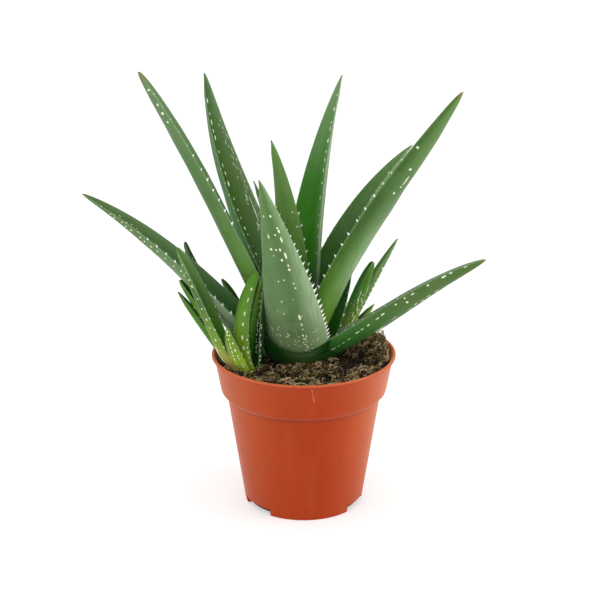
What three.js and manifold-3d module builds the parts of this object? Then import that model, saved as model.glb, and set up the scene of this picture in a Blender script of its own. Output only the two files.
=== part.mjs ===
// A young aloe with three offshoots, growing in a round plastic nursery pot.
// Millimetres, +Z up. The origin is the centre of the pot's flat foot, on the ground.
// The viewer of the front stands on the -Y side; headings turn from +X towards +Y.

import * as THREE from 'three';
import { mergeVertices } from 'three/addons/utils/BufferGeometryUtils.js';
import Module from 'manifold-3d';

const wasm = await Module();
wasm.setup();

// ---------------------------------------------------------------- driving sizes

const GAP = 0.35; // clearance between pieces that touch
const SEED = 7; // seed of the teeth's small random shifts

const POT = {
  height: 103,
  lipRadius: 60,
  lipHeight: 2.2,
  bandTopRadius: 58.2,
  bandFootRadius: 54.4,
  bandFootZ: 79,
  shoulderRadius: 50.4,
  shoulderZ: 75.5,
  footRadius: 38.8,
  wall: 1.4,
  floor: 1.8,
  sides: 40,
};

// Hollows under the edge of the pot's foot that let water out.
const NOTCH = {
  headings: [-150, -30, 90],
  halfAngle: 18,
  innerRadius: 33,
  height: 4.8,
  wall: 1.3,
  drainAt: 36.4,
};

// The small round hole in the top of each notch.
const DRAIN = { topZ: 7.8, footZ: 2, topRadius: 2.6, footRadius: 2.6, sides: 10 };

const SOIL = {
  level: 97.6,
  edgeDrop: 1.2, // how far the surface sinks towards the wall
  edgeFrom: 40,
  edgeTo: 55,
  sides: 32,
  topRadii: [53, 47, 39, 30, 21, 12],
};

// The low humps of the soil's surface, as waves per millimetre.
const HUMPS = { height: 0.9, share: 0.6, shortX: 0.61, shortY: 0.53, longX: 0.27, longY: 0.35 };

// The raised clump of moss and fibre against the rim, behind on the right.
const CLUMP = { x: 43, y: 17, height: 6.5, spread: 11 };

const STEM = { x: -4, y: 9, topZ: 108, footZ: 66, topRadius: 3, footRadius: 7, sides: 12 };

const SHOOT_STEM = { topZ: 98.5, footZ: 80, topRadius: 2.6, footRadius: 4, sides: 8 };
const SHOOTS = {
  left: { x: -38, y: -13 },
  right: { x: 26, y: 31 },
  back: { x: -35, y: 28 },
};

// How a leaf's foot wraps the stem before the blade leans out.
const ROSETTE_FOOT = 14;
const SHOOT_FOOT = 8;

const EDGE = 1; // thickness of a blade at its margins
const TIP = 0.55; // half-width of a blade's blunt tip

const TOOTH = {
  length: 2.6,
  root: 1.3,
  flatness: 0.38,
  sunk: 0.9,
  forward: 0.35,
  rosetteStep: 10.5,
  shootStep: 9,
  firstAt: 0.14,
  lastAt: 0.965,
  tipScale: 0.55, // size and spacing near the tip, as a share of those near the foot
  tipSpacing: 0.75,
};

// A blade's thickness across its width: its share at the margins and how full it stays between.
const BELLY = { marginShare: 0.12, fullness: 0.7 };
const THINNING = 0.9; // how closely the thickness follows the width towards the tip
const FOOT_THINNING = 0.5; // share of the thickness that a foot loses where it clasps
const SPINE_STEPS = 120;
const RING_SPACING = 1.12; // above 1, the rings of points crowd towards the foot

// Each leaf: heading and rise of its blade at the foot in degrees, how the rise changes to the
// tip (lift, then hook), how the heading changes (sway, then swerve), its roll, its cupping,
// its size, and how slowly it tapers. ring and footZ place a foot round the stem; footRise
// and clasp say how steeply it starts and how far it wraps. They run from the heart outwards.
const ROSETTE = [
  {
    name: 'leaf_heart', heading: 146, rise: 80, lift: -12, hook: 0, sway: 4, swerve: 0,
    length: 113, width: 13, thick: 4, cup: [55, 55], taper: 0.78, belly: 0.02, roll: [0, 0],
    ring: 4, footZ: 102, footRise: 88, clasp: 110,
  },
  {
    name: 'leaf_inner_front', heading: -105, rise: 85, lift: -18, hook: -3, sway: -6, swerve: -3,
    length: 158, width: 25, thick: 6, cup: [50, 55], taper: 0.8, belly: 0.02, roll: [0, -4],
    ring: 5, footZ: 101, footRise: 88, clasp: 110,
  },
  {
    name: 'leaf_back', heading: 58, rise: 90, lift: -30, hook: 4, sway: -8, swerve: -2,
    length: 181, width: 31, thick: 5.5, cup: [50, 45], taper: 0.78, belly: 0.02, roll: [0, -9],
    ring: 6, footZ: 101, footRise: 88, clasp: 110,
  },
  {
    name: 'leaf_back_right', heading: 37, rise: 76, lift: -36, hook: -3, sway: -6, swerve: -2,
    length: 155, width: 27, thick: 5.5, cup: [50, 45], taper: 0.73, belly: 0.02, roll: [0, -5],
    ring: 8, footZ: 99, footRise: 82, clasp: 90,
  },
  {
    name: 'leaf_back_left', heading: 134, rise: 54, lift: 2, hook: 28, sway: 4, swerve: 3,
    length: 192, width: 42, thick: 4.5, cup: [58, 60], taper: 0.72, belly: 0.02, roll: [24, 2],
    ring: 8, footZ: 99, footRise: 82, clasp: 90,
  },
  {
    name: 'leaf_upper_left', heading: 189, rise: 67, lift: 0, hook: -10, sway: -2, swerve: -5,
    length: 210, width: 25, thick: 6.5, cup: [36, 52], taper: 0.46, belly: 0.02, roll: [6, -6],
    ring: 9, footZ: 99, footRise: 82, clasp: 90,
  },
  {
    name: 'leaf_right', heading: -34, rise: 73, lift: -48, hook: 31, sway: -1, swerve: -1,
    length: 220, width: 30, thick: 7.5, cup: [46, 60], taper: 0.68, belly: 0.02, roll: [18, -5],
    ring: 9, footZ: 99, footRise: 82, clasp: 90,
  },
  {
    name: 'leaf_front', heading: -98, rise: 51, lift: 37, hook: -14, sway: -19, swerve: -13,
    length: 151, width: 46, thick: 6, cup: [50, 60], taper: 0.95, belly: 0.05, roll: [-10, -10],
    ring: 12, footZ: 98, footRise: 72, clasp: 80,
  },
  {
    name: 'leaf_behind_right', heading: 8, rise: 61, lift: 34, hook: -38, sway: 0, swerve: 0,
    length: 88, width: 23, thick: 5, cup: [58, 50], taper: 0.84, belly: 0.1, roll: [0, 0],
    ring: 16, footZ: 97, footRise: 85, clasp: 100,
  },
  {
    name: 'leaf_lower_right', heading: -14, rise: 29, lift: 28, hook: -32, sway: 0, swerve: -3,
    length: 134, width: 29, thick: 8, cup: [30, 55], taper: 0.62, belly: 0.05, roll: [-8, -8],
    ring: 14, footZ: 97, footRise: 50, clasp: 60,
  },
  {
    name: 'leaf_lower_left', heading: 187, rise: 48, lift: 7, hook: -25, sway: -2, swerve: -4,
    length: 166, width: 25, thick: 7.5, cup: [48, 40], taper: 0.73, belly: 0.04, roll: [-12, -12],
    ring: 16, footZ: 97, footRise: 50, clasp: 60,
  },
];

const SHOOT_LEAVES = [
  {
    name: 'shoot_left_leaf_1', foot: [-36, -15, 97], heading: -160, rise: 68, lift: 60, hook: -6,
    sway: 0, swerve: 4, length: 68, width: 17, thick: 4, cup: [40, 55], taper: 0.4, belly: 0.32,
    roll: [0, -6],
  },
  {
    name: 'shoot_left_leaf_2', foot: [-36, -9, 97], heading: 1, rise: 88, lift: -22, hook: 12,
    sway: 0, swerve: -3, length: 62, width: 12, thick: 4, cup: [50, 45], taper: 0.7, belly: 0.15,
    roll: [6, 0],
  },
  {
    name: 'shoot_left_leaf_3', foot: [-30, -14, 97], heading: 20, rise: 88, lift: -2, hook: -4,
    sway: 0, swerve: 0, length: 55, width: 11, thick: 3.5, cup: [42, 50], taper: 0.5, belly: 0.28,
    roll: [8, 0],
  },
  {
    name: 'shoot_left_leaf_4', foot: [-41, -17, 97], heading: 184, rise: 60, lift: 28, hook: -30,
    sway: -8, swerve: -6, length: 90, width: 13, thick: 5.5, cup: [35, 44], taper: 0.5, belly: 0.26,
    roll: [-8, -22],
  },
  {
    name: 'shoot_left_leaf_5', foot: [-39, -22, 97], heading: -131, rise: 60, lift: 6, hook: 14,
    sway: -3, swerve: 0, length: 37, width: 11, thick: 3.5, cup: [46, 45], taper: 0.53, belly: 0.15,
    roll: [0, 0],
  },
  {
    name: 'shoot_left_leaf_6', foot: [-43, -8, 97], heading: 170, rise: 58, lift: 0, hook: -5,
    sway: 0, swerve: 0, length: 67, width: 12, thick: 4, cup: [45, 45], taper: 0.4, belly: 0.15,
    roll: [0, 0],
  },
  {
    name: 'shoot_left_leaf_7', foot: [-44, -5, 97], heading: 179, rise: 44, lift: 38, hook: -30,
    sway: 0, swerve: 0, length: 61, width: 9, thick: 3.5, cup: [45, 45], taper: 0.52, belly: 0.15,
    roll: [0, 0],
  },
  {
    name: 'shoot_right_leaf_1', foot: [27, 28, 97], heading: 7, rise: 77, lift: -12, hook: 0,
    sway: 0, swerve: 0, length: 61, width: 14, thick: 5, cup: [46, 44], taper: 0.38, belly: 0.23,
    roll: [0, 0],
  },
  {
    name: 'shoot_right_leaf_2', foot: [24, 35, 97], heading: 10, rise: 65, lift: -8, hook: 0,
    sway: 0, swerve: 0, length: 80, width: 11, thick: 4, cup: [47, 45], taper: 0.6, belly: 0.14,
    roll: [0, 0],
  },
  {
    name: 'shoot_right_leaf_3', foot: [32, 31, 97], heading: 4, rise: 62, lift: -6, hook: -10,
    sway: 0, swerve: 0, length: 33, width: 9, thick: 3.5, cup: [50, 45], taper: 0.7, belly: 0.16,
    roll: [0, 0],
  },
  {
    name: 'shoot_back_leaf_1', foot: [-36, 26, 97], heading: 166, rise: 47, lift: 10, hook: 18,
    sway: 0, swerve: 0, length: 83, width: 13, thick: 4, cup: [45, 46], taper: 0.42, belly: 0.16,
    roll: [0, 0],
  },
  {
    name: 'shoot_back_leaf_2', foot: [-35, 31, 97], heading: 150, rise: 84, lift: -24, hook: -16,
    sway: 0, swerve: 0, length: 47, width: 9, thick: 3.5, cup: [45, 45], taper: 0.45, belly: 0.15,
    roll: [0, 0],
  },
];

// Rings along a leaf and points across each face.
const ROSETTE_MESH = { rings: 12, across: 5 };
const SHOOT_MESH = { rings: 9, across: 5 };

const FINISH = {
  pot: { color: 0xb73e1c, roughness: 0.38, metalness: 0 },
  soil: { color: 0x4a3a24, roughness: 0.95, metalness: 0 },
  rosette: { color: 0x3f7a45, roughness: 0.42, metalness: 0 },
  front: { color: 0x7d9c7c, roughness: 0.5, metalness: 0 },
  shoot: { color: 0x5d8f2c, roughness: 0.42, metalness: 0 },
  stem: { color: 0x8a9a5a, roughness: 0.6, metalness: 0 },
};

// ---------------------------------------------------------------- solids

const rad = THREE.MathUtils.degToRad;
const deg = THREE.MathUtils.radToDeg;
const mix = THREE.MathUtils.lerp;

// A seeded random number generator, 0 to 1.
function seededRandom(seed) {
  let state = seed;
  return () => {
    state = (state + 0x6d2b79f5) | 0;
    let bits = Math.imul(state ^ (state >>> 15), 1 | state);
    bits = (bits + Math.imul(bits ^ (bits >>> 7), 61 | bits)) ^ bits;
    return ((bits ^ (bits >>> 14)) >>> 0) / 4294967296;
  };
}

// Turns a closed geometry into a solid that can be joined and cut.
function toSolid(geometry) {
  const bare = geometry.index ? geometry.clone() : geometry;
  bare.deleteAttribute('normal');
  bare.deleteAttribute('uv');
  const merged = mergeVertices(bare, 1e-4);
  const vertProperties = new Float32Array(merged.attributes.position.array);
  const triVerts = new Uint32Array(merged.index.array);
  return new wasm.Manifold(new wasm.Mesh({ numProp: 3, vertProperties, triVerts }));
}

// Turns a solid back into a geometry.
function toGeometry(solid) {
  const mesh = solid.getMesh();
  const geometry = new THREE.BufferGeometry();
  geometry.setAttribute('position', new THREE.BufferAttribute(mesh.vertProperties, 3));
  geometry.setIndex(new THREE.BufferAttribute(mesh.triVerts, 1));
  geometry.computeVertexNormals();
  return geometry;
}

// The largest piece of a solid that a cut may have parted.
function largestPiece(solid) {
  const pieces = solid.decompose();
  return pieces.reduce((best, piece) => (piece.volume() > best.volume() ? piece : best));
}

// A solid turned round the upright axis from a profile of [radius, height] points.
function turned(profile, sides) {
  const points = profile.map(([radius, z]) => new THREE.Vector2(radius, z));
  const geometry = new THREE.LatheGeometry(points, sides);
  geometry.rotateX(Math.PI / 2);
  return geometry;
}

// A tapered upright post with closed ends.
function post(size, x, y, grow = 0) {
  const height = size.topZ - size.footZ + 2 * grow;
  const geometry = new THREE.CylinderGeometry(
    size.topRadius + grow, size.footRadius + grow, height, size.sides);
  geometry.rotateX(Math.PI / 2);
  geometry.translate(x, y, (size.topZ + size.footZ) / 2);
  return toSolid(geometry);
}

// ---------------------------------------------------------------- pot

// The pot's outside from the foot up to the lip, as [radius, height] points.
function potOutside() {
  return [
    [POT.footRadius, 0],
    [POT.shoulderRadius - 0.4, POT.shoulderZ - 2],
    [POT.shoulderRadius + 0.6, POT.shoulderZ],
    [POT.bandFootRadius - 1, POT.bandFootZ - 1.5],
    [POT.bandFootRadius, POT.bandFootZ + 1],
    [POT.bandTopRadius, POT.height - POT.lipHeight],
    [POT.lipRadius, POT.height - POT.lipHeight + 0.6],
    [POT.lipRadius, POT.height - 0.7],
    [POT.lipRadius - 0.8, POT.height],
  ];
}

// The pot's inside from the floor up to the lip.
function potInside() {
  const wall = POT.wall;
  return [
    [POT.footRadius - wall, POT.floor],
    [POT.shoulderRadius - 0.4 - wall, POT.shoulderZ - 1],
    [POT.bandFootRadius - 0.8 - wall, POT.bandFootZ],
    [POT.bandTopRadius - wall, POT.height - POT.lipHeight],
    [POT.bandTopRadius - wall + 0.3, POT.height],
  ];
}

// A block in the shape of a piece of a ring, standing from fromZ to toZ.
function ringBlock(innerRadius, outerRadius, heading, halfAngle, fromZ, toZ) {
  const shape = new THREE.Shape();
  const start = rad(heading - halfAngle);
  const end = rad(heading + halfAngle);
  shape.absarc(0, 0, outerRadius, start, end, false);
  shape.absarc(0, 0, innerRadius, end, start, true);
  const geometry = new THREE.ExtrudeGeometry(shape, {
    depth: toZ - fromZ,
    bevelEnabled: false,
    curveSegments: 6,
  });
  geometry.translate(0, 0, fromZ);
  return toSolid(geometry);
}

// The hollow under the pot's edge that lets water out, or with a margin, its walls as well.
function notchBlock(heading, margin) {
  const spread = NOTCH.halfAngle + deg(margin / NOTCH.innerRadius);
  return ringBlock(
    NOTCH.innerRadius - margin, POT.footRadius + 8, heading, spread,
    -1, NOTCH.height + margin);
}

function makePot() {
  const outside = potOutside();
  const inside = potInside();
  const full = toSolid(turned([[0, 0], ...outside, [0, POT.height]], POT.sides));
  const shell = [[0, 0], ...outside, ...inside.slice().reverse(), [0, POT.floor]];
  let pot = toSolid(turned(shell, POT.sides));
  for (const heading of NOTCH.headings) {
    const x = NOTCH.drainAt * Math.cos(rad(heading));
    const y = NOTCH.drainAt * Math.sin(rad(heading));
    const drain = post(DRAIN, x, y);
    const housing = notchBlock(heading, NOTCH.wall).intersect(full);
    pot = pot.add(housing).subtract(notchBlock(heading, 0)).subtract(drain);
  }
  return pot;
}

// ---------------------------------------------------------------- soil

// Height of the soil's surface at a place in the pot.
function soilHeight(x, y) {
  const away = Math.hypot(x - CLUMP.x, y - CLUMP.y) / CLUMP.spread;
  const clump = CLUMP.height * Math.exp(-away * away);
  const short = Math.sin(x * HUMPS.shortX + 1) * Math.cos(y * HUMPS.shortY);
  const long = HUMPS.share * Math.sin(x * HUMPS.longX - y * HUMPS.longY);
  const edge = THREE.MathUtils.smoothstep(Math.hypot(x, y), SOIL.edgeFrom, SOIL.edgeTo);
  return SOIL.level + clump + HUMPS.height * (short + long) - SOIL.edgeDrop * edge;
}

function makeSoil() {
  const side = potInside()
    .slice(0, 3)
    .map(([radius, z]) => [radius - GAP, z + GAP]);
  const rise = (POT.bandTopRadius - POT.bandFootRadius) / (POT.height - POT.bandFootZ);
  const rimRadius = POT.bandFootRadius - 0.8 - POT.wall - GAP + rise * (SOIL.level - POT.bandFootZ);
  const top = [rimRadius, ...SOIL.topRadii].map((radius) => [radius, SOIL.level]);
  const profile = [[0, POT.floor + GAP], ...side, ...top, [0, SOIL.level]];
  const geometry = turned(profile, SOIL.sides);
  const at = geometry.attributes.position;
  for (let i = 0; i < at.count; i += 1) {
    if (Math.abs(at.getZ(i) - SOIL.level) < 1e-3) {
      at.setZ(i, soilHeight(at.getX(i), at.getY(i)));
    }
  }
  let soil = toSolid(geometry);
  for (const heading of NOTCH.headings) {
    soil = soil.subtract(notchBlock(heading, NOTCH.wall + GAP));
  }
  return soil;
}

// ---------------------------------------------------------------- leaves

// Share of the foot's own shape at a distance along the leaf.
function footShare(leaf, s) {
  const reach = (s * leaf.length) / leaf.footLength;
  return Math.exp(-reach * reach);
}

// Direction of the leaf, its upper face's normal and the direction across it.
function leafFrame(leaf, s) {
  const foot = footShare(leaf, s);
  const bladeRise = leaf.rise + leaf.lift * s + leaf.hook * s * s;
  const rise = rad(bladeRise + (leaf.footRise - leaf.rise) * foot);
  const heading = rad(leaf.heading + leaf.sway * s + leaf.swerve * s * s);
  const along = new THREE.Vector3(
    Math.cos(rise) * Math.cos(heading), Math.cos(rise) * Math.sin(heading), Math.sin(rise));
  const face = new THREE.Vector3(
    -Math.sin(rise) * Math.cos(heading), -Math.sin(rise) * Math.sin(heading), Math.cos(rise));
  const across = along.clone().cross(face);
  const roll = rad(mix(leaf.roll[0], leaf.roll[1], s)) * (1 - foot);
  across.applyAxisAngle(along, roll);
  face.applyAxisAngle(along, roll);
  return { along, face, across };
}

// Points along the leaf's middle, walked in short steps from its foot.
function leafSpine(leaf) {
  const points = [new THREE.Vector3(...leaf.foot)];
  for (let i = 0; i < SPINE_STEPS; i += 1) {
    const { along } = leafFrame(leaf, (i + 0.5) / SPINE_STEPS);
    points.push(points[i].clone().addScaledVector(along, leaf.length / SPINE_STEPS));
  }
  return (s) => {
    const place = Math.min(s * SPINE_STEPS, SPINE_STEPS - 1e-6);
    const index = Math.floor(place);
    return points[index].clone().lerp(points[index + 1], place - index);
  };
}

// Half-width, half-angle of the cupped arc and middle thickness of the section at s.
function leafSection(leaf, s) {
  const beyond = Math.max(s - leaf.belly, 0) / (1 - leaf.belly);
  const fullness = Math.max(Math.cos((Math.PI / 2) * beyond), 0) ** leaf.taper;
  const foot = footShare(leaf, s);
  const halfBlade = Math.max((leaf.width / 2) * fullness, TIP);
  const cup = rad(mix(leaf.cup[0], leaf.cup[1], s));
  const clasp = rad(leaf.clasp);
  const half = leaf.clasp ? mix(halfBlade, leaf.ring * clasp, foot) : halfBlade;
  const angle = leaf.clasp ? mix(cup, clasp, foot) : cup;
  const thick = Math.max(leaf.thick * fullness ** THINNING * (1 - FOOT_THINNING * foot), 2 * TIP);
  return { half, angle, thick };
}

// One point of the section: u runs -1 to 1 across, under picks the lower face.
function sectionPoint(leaf, spine, s, u, under, grow) {
  const { face, across } = leafFrame(leaf, s);
  const { half, angle, thick } = leafSection(leaf, s);
  const radius = half / angle;
  const turn = (u * (half + grow)) / radius;
  const share = BELLY.marginShare + (1 - BELLY.marginShare) * (1 - u * u) ** BELLY.fullness;
  const depth = under ? Math.max(EDGE, thick * share) + grow : -grow;
  const x = radius * Math.sin(turn) + depth * Math.sin(turn);
  const y = radius * (1 - Math.cos(turn)) - depth * Math.cos(turn);
  return spine(s).addScaledVector(across, x).addScaledVector(face, y);
}

// The closed blade of a leaf, swept from rings of points, with the clearance grow all round.
function makeBlade(leaf, mesh, grow) {
  const spine = leafSpine(leaf);
  const { rings, across } = mesh;
  const around = 2 * across;
  const positions = [];
  for (let i = 0; i < rings; i += 1) {
    const s = (i / (rings - 1)) ** RING_SPACING;
    const { along } = leafFrame(leaf, s);
    const push = i === 0 ? -grow : i === rings - 1 ? grow : 0;
    for (let j = 0; j < around; j += 1) {
      const under = j >= across;
      const step = under ? around - 1 - j : j;
      const u = (2 * step) / (across - 1) - 1;
      const point = sectionPoint(leaf, spine, s, u, under, grow).addScaledVector(along, push);
      positions.push(point.x, point.y, point.z);
    }
  }
  const index = [];
  const quad = (a, b, c, d) => index.push(a, b, c, a, c, d);
  for (let i = 0; i < rings - 1; i += 1) {
    for (let j = 0; j < around; j += 1) {
      const next = (j + 1) % around;
      const row = i * around;
      const above = row + around;
      quad(row + j, row + next, above + next, above + j);
    }
  }
  const last = (rings - 1) * around;
  for (let j = 0; j < across - 1; j += 1) {
    const under = around - 1 - j;
    quad(j, under, under - 1, j + 1);
    quad(last + j, last + j + 1, last + under - 1, last + under);
  }
  const geometry = new THREE.BufferGeometry();
  geometry.setAttribute('position', new THREE.Float32BufferAttribute(positions, 3));
  geometry.setIndex(index);
  return toSolid(geometry);
}

// One tooth: a small flattened cone whose root is sunk in the margin on one side.
function makeTooth(leaf, spine, s, side, scale, grow) {
  const frame = leafFrame(leaf, s);
  const { angle } = leafSection(leaf, s);
  const root = sectionPoint(leaf, spine, s, side, false, 0)
    .lerp(sectionPoint(leaf, spine, s, side, true, 0), 0.5);
  const point = new THREE.Vector3()
    .addScaledVector(frame.across, side * Math.cos(angle))
    .addScaledVector(frame.face, Math.sin(angle))
    .addScaledVector(frame.along, TOOTH.forward)
    .normalize();
  const flat = frame.along.clone().cross(point).normalize();
  const height = TOOTH.length * scale + TOOTH.sunk + 2 * grow;
  const geometry = new THREE.ConeGeometry(TOOTH.root * scale + grow, height, 3);
  geometry.scale(1, 1, TOOTH.flatness);
  geometry.translate(0, height / 2 - TOOTH.sunk - grow, 0);
  geometry.applyMatrix4(
    new THREE.Matrix4().makeBasis(point.clone().cross(flat), point, flat).setPosition(root));
  return toSolid(geometry);
}

// A leaf with its teeth along both margins; they shrink towards the tip.
function makeLeaf(leaf, mesh, toothStep, seed, grow) {
  const random = seededRandom(seed);
  const spine = leafSpine(leaf);
  let solid = makeBlade(leaf, mesh, grow);
  for (const side of [-1, 1]) {
    let s = TOOTH.firstAt + (random() * toothStep) / leaf.length;
    while (s < TOOTH.lastAt) {
      const scale = mix(1, TOOTH.tipScale, s) * mix(0.9, 1.1, random());
      solid = solid.add(makeTooth(leaf, spine, s, side, scale, grow));
      s += (toothStep * mix(1, TOOTH.tipSpacing, s) * mix(0.85, 1.15, random())) / leaf.length;
    }
  }
  return solid;
}

// Completes a rosette leaf's description with the place of its foot round the stem.
function rosetteLeaf(leaf) {
  const heading = rad(leaf.heading);
  const x = STEM.x + leaf.ring * Math.cos(heading);
  const y = STEM.y + leaf.ring * Math.sin(heading);
  const finish = leaf.name === 'leaf_front' ? 'front' : 'rosette';
  return { ...leaf, foot: [x, y, leaf.footZ], footLength: ROSETTE_FOOT, finish };
}

// Completes a shoot leaf's description: its foot starts as steep as its blade.
function shootLeaf(leaf) {
  return { ...leaf, footRise: leaf.rise, footLength: SHOOT_FOOT, finish: 'shoot' };
}

// ---------------------------------------------------------------- assembly

function addMesh(group, name, solid, finish) {
  const mesh = new THREE.Mesh(toGeometry(solid), new THREE.MeshStandardMaterial(FINISH[finish]));
  mesh.name = name;
  group.add(mesh);
}

function buildAloe() {
  const group = new THREE.Group();
  let taken = post(STEM, STEM.x, STEM.y, GAP);
  addMesh(group, 'stem', post(STEM, STEM.x, STEM.y), 'stem');
  for (const [side, place] of Object.entries(SHOOTS)) {
    addMesh(group, `shoot_${side}_stem`, post(SHOOT_STEM, place.x, place.y), 'stem');
    taken = taken.add(post(SHOOT_STEM, place.x, place.y, GAP));
  }
  const leaves = [
    ...ROSETTE.map((leaf) => [rosetteLeaf(leaf), ROSETTE_MESH, TOOTH.rosetteStep]),
    ...SHOOT_LEAVES.map((leaf) => [shootLeaf(leaf), SHOOT_MESH, TOOTH.shootStep]),
  ];
  leaves.forEach(([leaf, mesh, toothStep], order) => {
    const seed = SEED + 31 * order;
    const whole = makeLeaf(leaf, mesh, toothStep, seed, 0);
    addMesh(group, leaf.name, largestPiece(whole.subtract(taken)), leaf.finish);
    taken = taken.add(makeLeaf(leaf, mesh, toothStep, seed, GAP));
  });
  addMesh(group, 'soil', largestPiece(makeSoil().subtract(taken)), 'soil');
  addMesh(group, 'pot', makePot(), 'pot');
  return group;
}

export default buildAloe();
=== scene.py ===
"""Looks of a young aloe with three offshoots in a round plastic nursery pot.

Sizes are real ones in millimetres, and turn into metres where a mesh is made. The
origin is the centre of the pot's foot, +Z is up, and the front looks towards -Y.
"""

import logging
import math
import random
from dataclasses import dataclass, field
from enum import Enum
from typing import Callable

import bpy
import numpy as np
from mathutils import Euler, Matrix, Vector, noise

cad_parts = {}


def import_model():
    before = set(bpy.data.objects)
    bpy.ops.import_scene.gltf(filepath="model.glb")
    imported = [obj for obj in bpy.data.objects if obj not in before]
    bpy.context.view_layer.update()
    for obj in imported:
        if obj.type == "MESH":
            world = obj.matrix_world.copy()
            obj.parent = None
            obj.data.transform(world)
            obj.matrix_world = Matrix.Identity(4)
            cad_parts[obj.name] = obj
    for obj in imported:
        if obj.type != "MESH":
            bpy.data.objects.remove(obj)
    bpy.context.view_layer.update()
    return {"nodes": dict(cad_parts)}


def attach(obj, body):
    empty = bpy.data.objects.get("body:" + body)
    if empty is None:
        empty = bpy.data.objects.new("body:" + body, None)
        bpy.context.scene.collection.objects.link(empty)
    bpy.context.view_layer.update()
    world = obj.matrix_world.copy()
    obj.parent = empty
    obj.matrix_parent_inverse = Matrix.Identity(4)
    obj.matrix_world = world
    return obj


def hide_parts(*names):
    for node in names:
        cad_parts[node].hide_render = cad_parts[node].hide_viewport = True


LOG = logging.getLogger("aloe")
MM = 0.001
SEED = 23
ROOT = "root"

Piece = bpy.types.Object
Finish = bpy.types.Material
Socket = bpy.types.NodeSocket
Place = tuple[float, float, float]
# the points and the faces of a small shape that is copied many times
Pattern = tuple[np.ndarray, list[list[int]]]


# ---------------------------------------------------------------- colours


class Hue(Enum):
    """Named colours of the plant, its soil and its pot, as screen colours."""

    NIGHT = "#0f3f0a"
    PINE = "#1a5f0e"
    FOREST = "#2c5710"
    BOTTLE = "#2f6a1c"
    EMERALD = "#37751c"
    SPROUT = "#3c8612"
    GRASS = "#44760c"
    SPRING = "#4f7f1c"
    FRESH = "#5f8a34"
    LIME = "#769520"
    YELLOW = "#a6c43a"
    OLIVE = "#3f6014"
    LEAF = "#4a682e"
    MEADOW = "#507240"
    HERB = "#618447"
    MOSS = "#5b7a4c"
    SAGE = "#69845b"
    PALE = "#8dac70"
    FROST = "#78946a"
    IVY = "#587d37"
    STEEL = "#627c66"
    DUSK = "#3f6f3c"
    HAY = "#c4a768"
    MIST = "#95ac88"
    BRONZE = "#8a7440"
    CREAM = "#e4edcd"
    WHITE = "#f6f8ee"

    def linear(self) -> np.ndarray:
        """Returns the colour as linear red, green and blue."""
        return screen_to_linear(self.value)


def screen_to_linear(code: str) -> np.ndarray:
    """Turns a screen colour into a linear one.

    Args:
        code: a colour such as "#aabbcc".

    Returns:
        Red, green and blue from 0 to 1.
    """
    values = np.array([int(code[i : i + 2], 16) / 255 for i in (1, 3, 5)])
    return np.where(values <= 0.04045, values / 12.92, ((values + 0.055) / 1.055) ** 2.4)


class Slot(Enum):
    """Names of the part's own material slots; the leaves' skins are chosen by them."""

    LEAF = "leaf_green"
    SAGE = "leaf_sage"
    YOUNG = "leaf_young"
    SOIL = "potting_soil"
    POT = "pot_plastic"


# ---------------------------------------------------------------- workbench


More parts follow.
